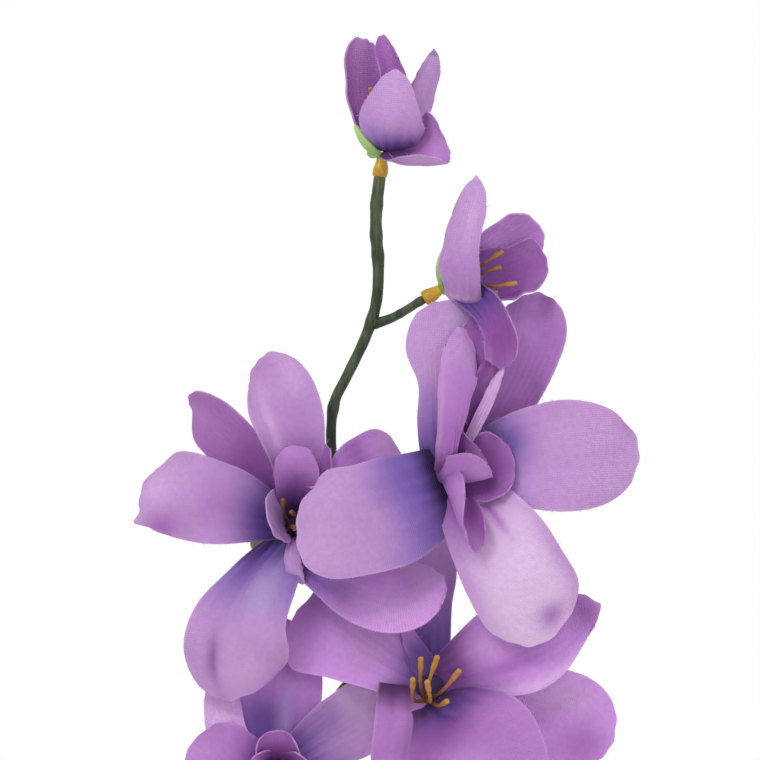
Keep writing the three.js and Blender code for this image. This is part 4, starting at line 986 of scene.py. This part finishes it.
def collar_piece(flower):
    """The yellow glued collar: a soft barrel with uneven bulges, painted darker orange towards the stalk as shade.
    """
    size = flower["size"]
    front = -size["hub"] - size["disc_thickness"] - 2 * GAP + MEET
    back = front - size["collar_length"] - 2 * MEET
    shape = [(0, 0), (0.72, 0), (0.88, 0.03), (0.97, 0.1), (1, 0.22), (1, 0.38), (0.95, 0.52), (0.86, 0.66),
             (0.76, 0.8), (0.7, 0.92), (0.66, 1), (0, 1)]
    profile = [(r * size["collar_radius"], back + (front - back) * place) for r, place in shape]
    made = turned_piece(profile, 36)
    points = corners(made)
    turn = np.arctan2(points[:, 1], points[:, 0])
    bulge = 1 - 0.05 * (1 + np.sin(3 * turn + 1.3 * points[:, 2])) * 0.5 - 0.03 * (1 + np.sin(7 * turn)) * 0.5
    points[:, :2] *= bulge[:, None]
    # Painted shade: darker orange towards the back end
    shaded_end = 1 - ease(points[:, 2], back, front)[:, None]
    paint(made, linear(DYE_SHADE_AND_LIGHT_COLOURS["yolk"]) * (1 - shaded_end) + linear(DYE_SHADE_AND_LIGHT_COLOURS["ochre"]) * shaded_end)
    place_corners(made, behind_flower(points, flower))
    return made


# Vase and its fill
def vase_radius(height):
    marks = np.array(VASE["outline"], float)
    i = int(np.clip(np.searchsorted(marks[:, 0], height), 1, len(marks) - 1))

    def slope(k):
        shaded_end, high = max(k - 1, 0), min(k + 1, len(marks) - 1)
        return (marks[high, 1] - marks[shaded_end, 1]) / (marks[high, 0] - marks[shaded_end, 0])

    span = marks[i, 0] - marks[i - 1, 0]
    f = (height - marks[i - 1, 0]) / span
    rise = f * f * (3 - 2 * f)
    plain = marks[i - 1, 1] * (1 - rise) + marks[i, 1] * rise
    return plain + span * (f * (1 - f) ** 2 * slope(i - 1) - f * f * (1 - f) * slope(i))


def inner_profile(inset, rise, top):
    floor, turn = VASE["floor"], VASE["floor_round"]
    edge = vase_radius(floor) - VASE["wall"] - inset
    bend = [
        (edge - 2 * turn * (1 - math.sin(a)), floor + rise + turn * (1 - math.cos(a)))
        for a in np.linspace(0, math.pi / 2, 6)
    ]
    heights = [h for h in np.arange(floor + turn + 1, top, 3)] + [top]
    wall = [(vase_radius(h) - VASE["wall"] - inset, h) for h in heights]
    return [(0, floor + rise), *bend, *wall]


def vase_piece():
    """The clear bottle vase: thick foot, belly, neck and a rounded lip."""
    top = VASE["outline"][-1][0]
    lip = VASE["lip"]
    foot = VASE["foot_round"]
    outside = [(vase_radius(0) - foot, 0), (vase_radius(0.4) - 0.35 * foot, 0.25), (vase_radius(1), 1)]
    outside += [(vase_radius(h), h) for h in np.arange(3, top - lip, 3)]
    middle = vase_radius(top) - VASE["wall"] / 2
    rim = [
        (middle + VASE["wall"] / 2 * math.cos(a), top - lip + lip * math.sin(a))
        for a in np.linspace(0, math.pi, 9)
    ]
    inside = inner_profile(0, 0, top - lip)[:-1][::-1]
    (inner_ring, outer_ring), hollow = VASE["foot_ring"], VASE["foot_hollow"]
    under = [(0, hollow), (inner_ring, hollow), (outer_ring, 0)]
    return turned_piece([*under, *outside, *rim, *inside], VASE["steps"])


def fill_piece():
    """The clear set filling, with a plain hole that the stem stands in."""
    top, clearance = FILL["top"], FILL["clearance"]
    wall = inner_profile(clearance, clearance, top)
    hole = STEM["foot_radius"] + 2 * GAP
    shaded_end = STEM["foot"] - GAP
    meniscus = [(hole + 0.6, top - 0.2), (hole, top - 0.4)]
    return turned_piece([*wall, *meniscus, (hole, shaded_end), (0, shaded_end)], FILL["steps"])


# Materials
def new_group(name, inputs, outputs):
    """An empty node group with the named sockets, as (group, its input node, its output node)."""
    group = bpy.data.node_groups.new(name, "ShaderNodeTree")
    for title, kind, value in inputs:
        socket = group.interface.new_socket(title, in_out="INPUT", socket_type=kind)
        if value is not None:
            socket.default_value = value
    for title, kind in outputs:
        group.interface.new_socket(title, in_out="OUTPUT", socket_type=kind)
    return group, group.nodes.new("NodeGroupInput"), group.nodes.new("NodeGroupOutput")


def math_node(nodes, links, operation, first, second):
    """A Math node between two sockets or numbers, as its output."""
    node = nodes.new("ShaderNodeMath")
    node.operation = operation
    for socket, value in zip(node.inputs, (first, second)):
        if isinstance(value, (int, float)):
            socket.default_value = value
        else:
            links.new(value, socket)
    return node.outputs[0]


def weave_group():
    """Plain-woven threads on the cut cloth: a height, and a tone that darkens between the threads."""
    group, start, end = new_group(
        "woven threads",
        [("Cut", "NodeSocketVector", None), ("Thread", "NodeSocketFloat", 0.4),
         ("Unevenness", "NodeSocketFloat", 0.2)],
        [("Height", "NodeSocketFloat"), ("Tone", "NodeSocketFloat")],
    )
    nodes, links = group.nodes, group.links
    stray = nodes.new("ShaderNodeTexNoise")
    stray.inputs["Scale"].default_value = 0.6
    stray.inputs["Detail"].default_value = 1
    links.new(start.outputs["Cut"], stray.inputs["Vector"])
    bend = math_node(nodes, links, "MULTIPLY", stray.outputs["Fac"], start.outputs["Unevenness"])
    apart = nodes.new("ShaderNodeSeparateXYZ")
    links.new(start.outputs["Cut"], apart.inputs[0])
    turns = math_node(nodes, links, "DIVIDE", 2 * math.pi, start.outputs["Thread"])
    ridges = []
    for axis, share in (("X", 1), ("Y", 0.8)):
        moved = math_node(nodes, links, "ADD", apart.outputs[axis], bend)
        angle = math_node(nodes, links, "MULTIPLY", moved, turns)
        wave = math_node(nodes, links, "SINE", math_node(nodes, links, "DIVIDE", angle, share), 0)
        ridges.append(wave)
    crossing = math_node(nodes, links, "MULTIPLY", ridges[0], ridges[1])
    along = math_node(nodes, links, "MULTIPLY", ridges[1], 0.6)
    height = math_node(nodes, links, "ADD", crossing, along)
    links.new(height, end.inputs["Height"])
    dim = math_node(nodes, links, "MULTIPLY", height, 0.12)
    links.new(math_node(nodes, links, "ADD", dim, 0.97), end.inputs["Tone"])
    return group


def mottle_group():
    """Soft blotches and fine grain over the object, as a tone round 1 and a height."""
    group, start, end = new_group(
        "mottling",
        [("Place", "NodeSocketVector", None), ("Blotch Scale", "NodeSocketFloat", 120),
         ("Grain Scale", "NodeSocketFloat", 1500), ("Strength", "NodeSocketFloat", 0.15)],
        [("Tone", "NodeSocketFloat"), ("Grain", "NodeSocketFloat")],
    )
    nodes, links = group.nodes, group.links
    blotch = nodes.new("ShaderNodeTexNoise")
    blotch.inputs["Detail"].default_value = 3
    links.new(start.outputs["Place"], blotch.inputs["Vector"])
    links.new(start.outputs["Blotch Scale"], blotch.inputs["Scale"])
    grain = nodes.new("ShaderNodeTexNoise")
    grain.inputs["Detail"].default_value = 2
    links.new(start.outputs["Place"], grain.inputs["Vector"])
    links.new(start.outputs["Grain Scale"], grain.inputs["Scale"])
    both = math_node(nodes, links, "ADD", blotch.outputs["Fac"], grain.outputs["Fac"])
    centred = math_node(nodes, links, "SUBTRACT", both, 1)
    change = math_node(nodes, links, "MULTIPLY", centred, start.outputs["Strength"])
    links.new(math_node(nodes, links, "ADD", change, 1), end.inputs["Tone"])
    links.new(grain.outputs["Fac"], end.inputs["Grain"])
    return group


WEAVE = weave_group()
MOTTLE = mottle_group()


def new_material(name, **sockets):
    material = bpy.data.materials.new(name)
    material.use_nodes = True
    shader = material.node_tree.nodes["Principled BSDF"]
    for socket, value in sockets.items():
        shader.inputs[socket.replace("_", " ")].default_value = value
    return material, material.node_tree.nodes, material.node_tree.links, shader


def dyed_colour(nodes, links, tone):
    """The painted attribute times a tone, as a colour output."""
    dye_and_shade = nodes.new("ShaderNodeAttribute")
    dye_and_shade.attribute_name = "dye_and_shade"
    toned = nodes.new("ShaderNodeVectorMath")
    toned.operation = "SCALE"
    links.new(dye_and_shade.outputs["Color"], toned.inputs[0])
    links.new(tone, toned.inputs["Scale"])
    return toned.outputs[0]


def mottled(nodes, links, place, blotch, grain, strength):
    spots = nodes.new("ShaderNodeGroup")
    spots.node_tree = MOTTLE
    links.new(place, spots.inputs["Place"])
    spots.inputs["Blotch Scale"].default_value = blotch
    spots.inputs["Grain Scale"].default_value = grain
    spots.inputs["Strength"].default_value = strength
    return spots


def raised(nodes, links, height, distance, strength):
    bump = nodes.new("ShaderNodeBump")
    bump.inputs["Strength"].default_value = strength
    bump.inputs["Distance"].default_value = distance
    links.new(height, bump.inputs["Height"])
    return bump.outputs[0]


def petal_fabric():
    """Satin-like woven cloth: threads in the bump, blotches in the dye, a soft sheen."""
    material, nodes, links, shader = new_material(
        "petal_cloth", Roughness=0.46, Sheen_Weight=0.14, Sheen_Roughness=0.4, Specular_IOR_Level=0.42,
    )
    shader.inputs["Sheen Tint"].default_value = (0.86, 0.6, 1, 1)
    shader.inputs["Specular Tint"].default_value = (0.92, 0.7, 1, 1)
    place = nodes.new("ShaderNodeTexCoord")
    cut = nodes.new("ShaderNodeUVMap")
    cut.uv_map = "cut"
    threads = nodes.new("ShaderNodeGroup")
    threads.node_tree = WEAVE
    links.new(cut.outputs["UV"], threads.inputs["Cut"])
    threads.inputs["Thread"].default_value = 0.56
    threads.inputs["Unevenness"].default_value = 0.5
    spots = mottled(nodes, links, place.outputs["Object"], 75, 800, 0.24)
    tone = math_node(nodes, links, "MULTIPLY", threads.outputs["Tone"], spots.outputs["Tone"])
    links.new(dyed_colour(nodes, links, tone), shader.inputs["Base Color"])
    links.new(raised(nodes, links, threads.outputs["Height"], 0.00008, 0.6), shader.inputs["Normal"])
    return material


def painted_plastic(name, blotch, grain, strength, relief, **sockets):
    """Moulded plastic whose colour is painted on it, with blotches and a fine grain."""
    material, nodes, links, shader = new_material(name, **sockets)
    place = nodes.new("ShaderNodeTexCoord")
    spots = mottled(nodes, links, place.outputs["Object"], blotch, grain, strength)
    links.new(dyed_colour(nodes, links, spots.outputs["Tone"]), shader.inputs["Base Color"])
    links.new(raised(nodes, links, spots.outputs["Grain"], relief, 0.6), shader.inputs["Normal"])
    return material


def stem_plastic():
    """Dark green plastic with lengthwise mould streaks and brown rubs."""
    material, nodes, links, shader = new_material("stem_plastic", Roughness=0.5, Specular_IOR_Level=0.4)
    place = nodes.new("ShaderNodeTexCoord")
    stretch = nodes.new("ShaderNodeMapping")
    stretch.inputs["Scale"].default_value = (1, 1, 0.12)
    links.new(place.outputs["Object"], stretch.inputs["Vector"])
    streaks = nodes.new("ShaderNodeTexNoise")
    streaks.inputs["Scale"].default_value = 1900
    streaks.inputs["Detail"].default_value = 3
    links.new(stretch.outputs[0], streaks.inputs["Vector"])
    rubs = nodes.new("ShaderNodeTexNoise")
    rubs.inputs["Scale"].default_value = 160
    rubs.inputs["Detail"].default_value = 4
    links.new(place.outputs["Object"], rubs.inputs["Vector"])
    both = math_node(nodes, links, "ADD", streaks.outputs["Fac"], rubs.outputs["Fac"])
    share = math_node(nodes, links, "MULTIPLY", both, 0.5)
    ramp = nodes.new("ShaderNodeValToRGB")
    ramp.color_ramp.elements[0].position = 0.36
    ramp.color_ramp.elements[0].color = (*linear(DYE_SHADE_AND_LIGHT_COLOURS["bark"]), 1)
    ramp.color_ramp.elements[1].position = 0.66
    ramp.color_ramp.elements[1].color = (*linear(DYE_SHADE_AND_LIGHT_COLOURS["sage"]), 1)
    middle = ramp.color_ramp.elements.new(0.5)
    middle.color = (*linear(DYE_SHADE_AND_LIGHT_COLOURS["moss"]), 1)
    links.new(share, ramp.inputs[0])
    links.new(ramp.outputs[0], shader.inputs["Base Color"])
    links.new(raised(nodes, links, share, 0.00012, 0.7), shader.inputs["Normal"])
    return material


def clear_material(name, colour, roughness, ior):
    """Clear glass or resin: light passes, with faint waves in the surface."""
    material, nodes, links, shader = new_material(
        name, Roughness=roughness, IOR=ior, Transmission_Weight=1, Metallic=0,
    )
    shader.inputs["Base Color"].default_value = (*colour, 1)
    place = nodes.new("ShaderNodeTexCoord")
    waves = nodes.new("ShaderNodeTexNoise")
    waves.inputs["Scale"].default_value = 35
    waves.inputs["Detail"].default_value = 1
    links.new(place.outputs["Object"], waves.inputs["Vector"])
    links.new(raised(nodes, links, waves.outputs["Fac"], 0.0004, 0.25), shader.inputs["Normal"])
    return material


def floor_material():
    material, nodes, links, shader = new_material("pale_floor", Roughness=0.85)
    place = nodes.new("ShaderNodeTexCoord")
    spots = nodes.new("ShaderNodeTexNoise")
    spots.inputs["Scale"].default_value = 60
    links.new(place.outputs["Object"], spots.inputs["Vector"])
    ramp = nodes.new("ShaderNodeValToRGB")
    ramp.color_ramp.elements[0].color = (0.84, 0.84, 0.84, 1)
    ramp.color_ramp.elements[1].color = (0.88, 0.88, 0.88, 1)
    links.new(spots.outputs["Fac"], ramp.inputs[0])
    links.new(ramp.outputs[0], shader.inputs["Base Color"])
    return material


def soft_light(name, place, aim, size, power):
    """A round lamp at a place in metres, turned towards aim."""
    light = bpy.data.lights.new(name, "AREA")
    light.shape = "DISK"
    light.size = size
    light.energy = power
    lamp = bpy.data.objects.new(name, light)
    bpy.context.scene.collection.objects.link(lamp)
    lamp.location = place
    lamp.rotation_euler = (Vector(aim) - Vector(place)).to_track_quat("-Z", "Y").to_euler()


CLOTH_LOOK = petal_fabric()
STAMEN_LOOK = painted_plastic("stamen_plastic", 700, 3500, 0.5, 0.00008, Roughness=0.6)
CALYX_LOOK = painted_plastic("calyx_plastic", 300, 1800, 0.3, 0.00005, Roughness=0.5)
COLLAR_LOOK = painted_plastic("collar_plastic", 380, 1500, 0.6, 0.00009, Roughness=0.4, Coat_Weight=0.1)
STEM_LOOK = stem_plastic()
GLASS_LOOK = clear_material("vase_glass_clear", (0.985, 0.995, 0.99), 0.0, 1.5)
RESIN_LOOK = clear_material("set_resin_clear", (0.985, 0.99, 0.992), 0.02, 1.42)

# The flowers, each in four pieces
for number, (flower_name, flower) in enumerate(FLOWERS.items()):
    for made, kind, look, slot_name, node in (
        (flower_petals(flower_name, flower, number), "fabric", CLOTH_LOOK, "petal_fabric", "petals"),
        (stamens_piece(flower_name, flower, number), "filaments", STAMEN_LOOK, "stamen_gold", "stamens"),
        (calyx_piece(flower_name, flower), "sepals", CALYX_LOOK, "calyx_green", "calyx"),
        (collar_piece(flower), "sleeve", COLLAR_LOOK, "collar_yellow", "collar"),
    ):
        finish_piece(made, f"{flower_name}_{kind}", look, f"{flower_name}_{node}")

finish_piece(stem_piece(), "moulded_stem", STEM_LOOK, "stem")

for made, name, look, slot_name, node in (
    (vase_piece(), "bottle_vase", GLASS_LOOK, "vase_glass", "vase"),
    (fill_piece(), "set_filling", RESIN_LOOK, "fill_resin", "fill"),
):
    place_corners(made, corners(made) * MM)
    finish_piece(made, name, look, node)

# Floor, light and camera
clear_selection()
bpy.ops.mesh.primitive_circle_add(vertices=128, radius=2.4, fill_type="NGON")
floor = bpy.context.active_object
floor.name = "floor"
floor.data.materials.append(floor_material())

# The backdrop is pure white to the camera and through the glass, and lights the part a little less
world = bpy.data.worlds.new("studio")
bpy.context.scene.world = world
world.use_nodes = True
sky, sky_links = world.node_tree.nodes, world.node_tree.links
seen = sky.new("ShaderNodeLightPath")
direct = math_node(
    sky, sky_links, "MAXIMUM", seen.outputs["Is Camera Ray"], seen.outputs["Is Transmission Ray"]
)
glow = sky.new("ShaderNodeMapRange")
glow.inputs["To Min"].default_value = 0.8
glow.inputs["To Max"].default_value = 1.0
sky_links.new(direct, glow.inputs["Value"])
sky["Background"].inputs["Color"].default_value = (1, 1, 1, 1)
sky_links.new(glow.outputs["Result"], sky["Background"].inputs["Strength"])

soft_light("key", (-0.8, -1.25, 1.7), (0, 0, 0.33), 0.7, 12)
soft_light("fill", (1.3, -1.2, 0.7), (0, 0, 0.33), 1.2, 3.5)
soft_light("rim", (0.5, 1.2, 1.3), (0, 0, 0.35), 0.8, 5)

camera_data = bpy.data.cameras.new("photo camera")
camera_data.sensor_width = SENSOR
camera_data.lens = SENSOR * -EYE[1] / VIEW_HEIGHT
camera = bpy.data.objects.new("photo camera", camera_data)
bpy.context.scene.collection.objects.link(camera)
camera.location = [value * MM for value in EYE]
camera.rotation_euler = (math.pi / 2, 0, 0)
bpy.context.scene.camera = camera
bpy.context.scene.view_settings.view_transform = "Standard"
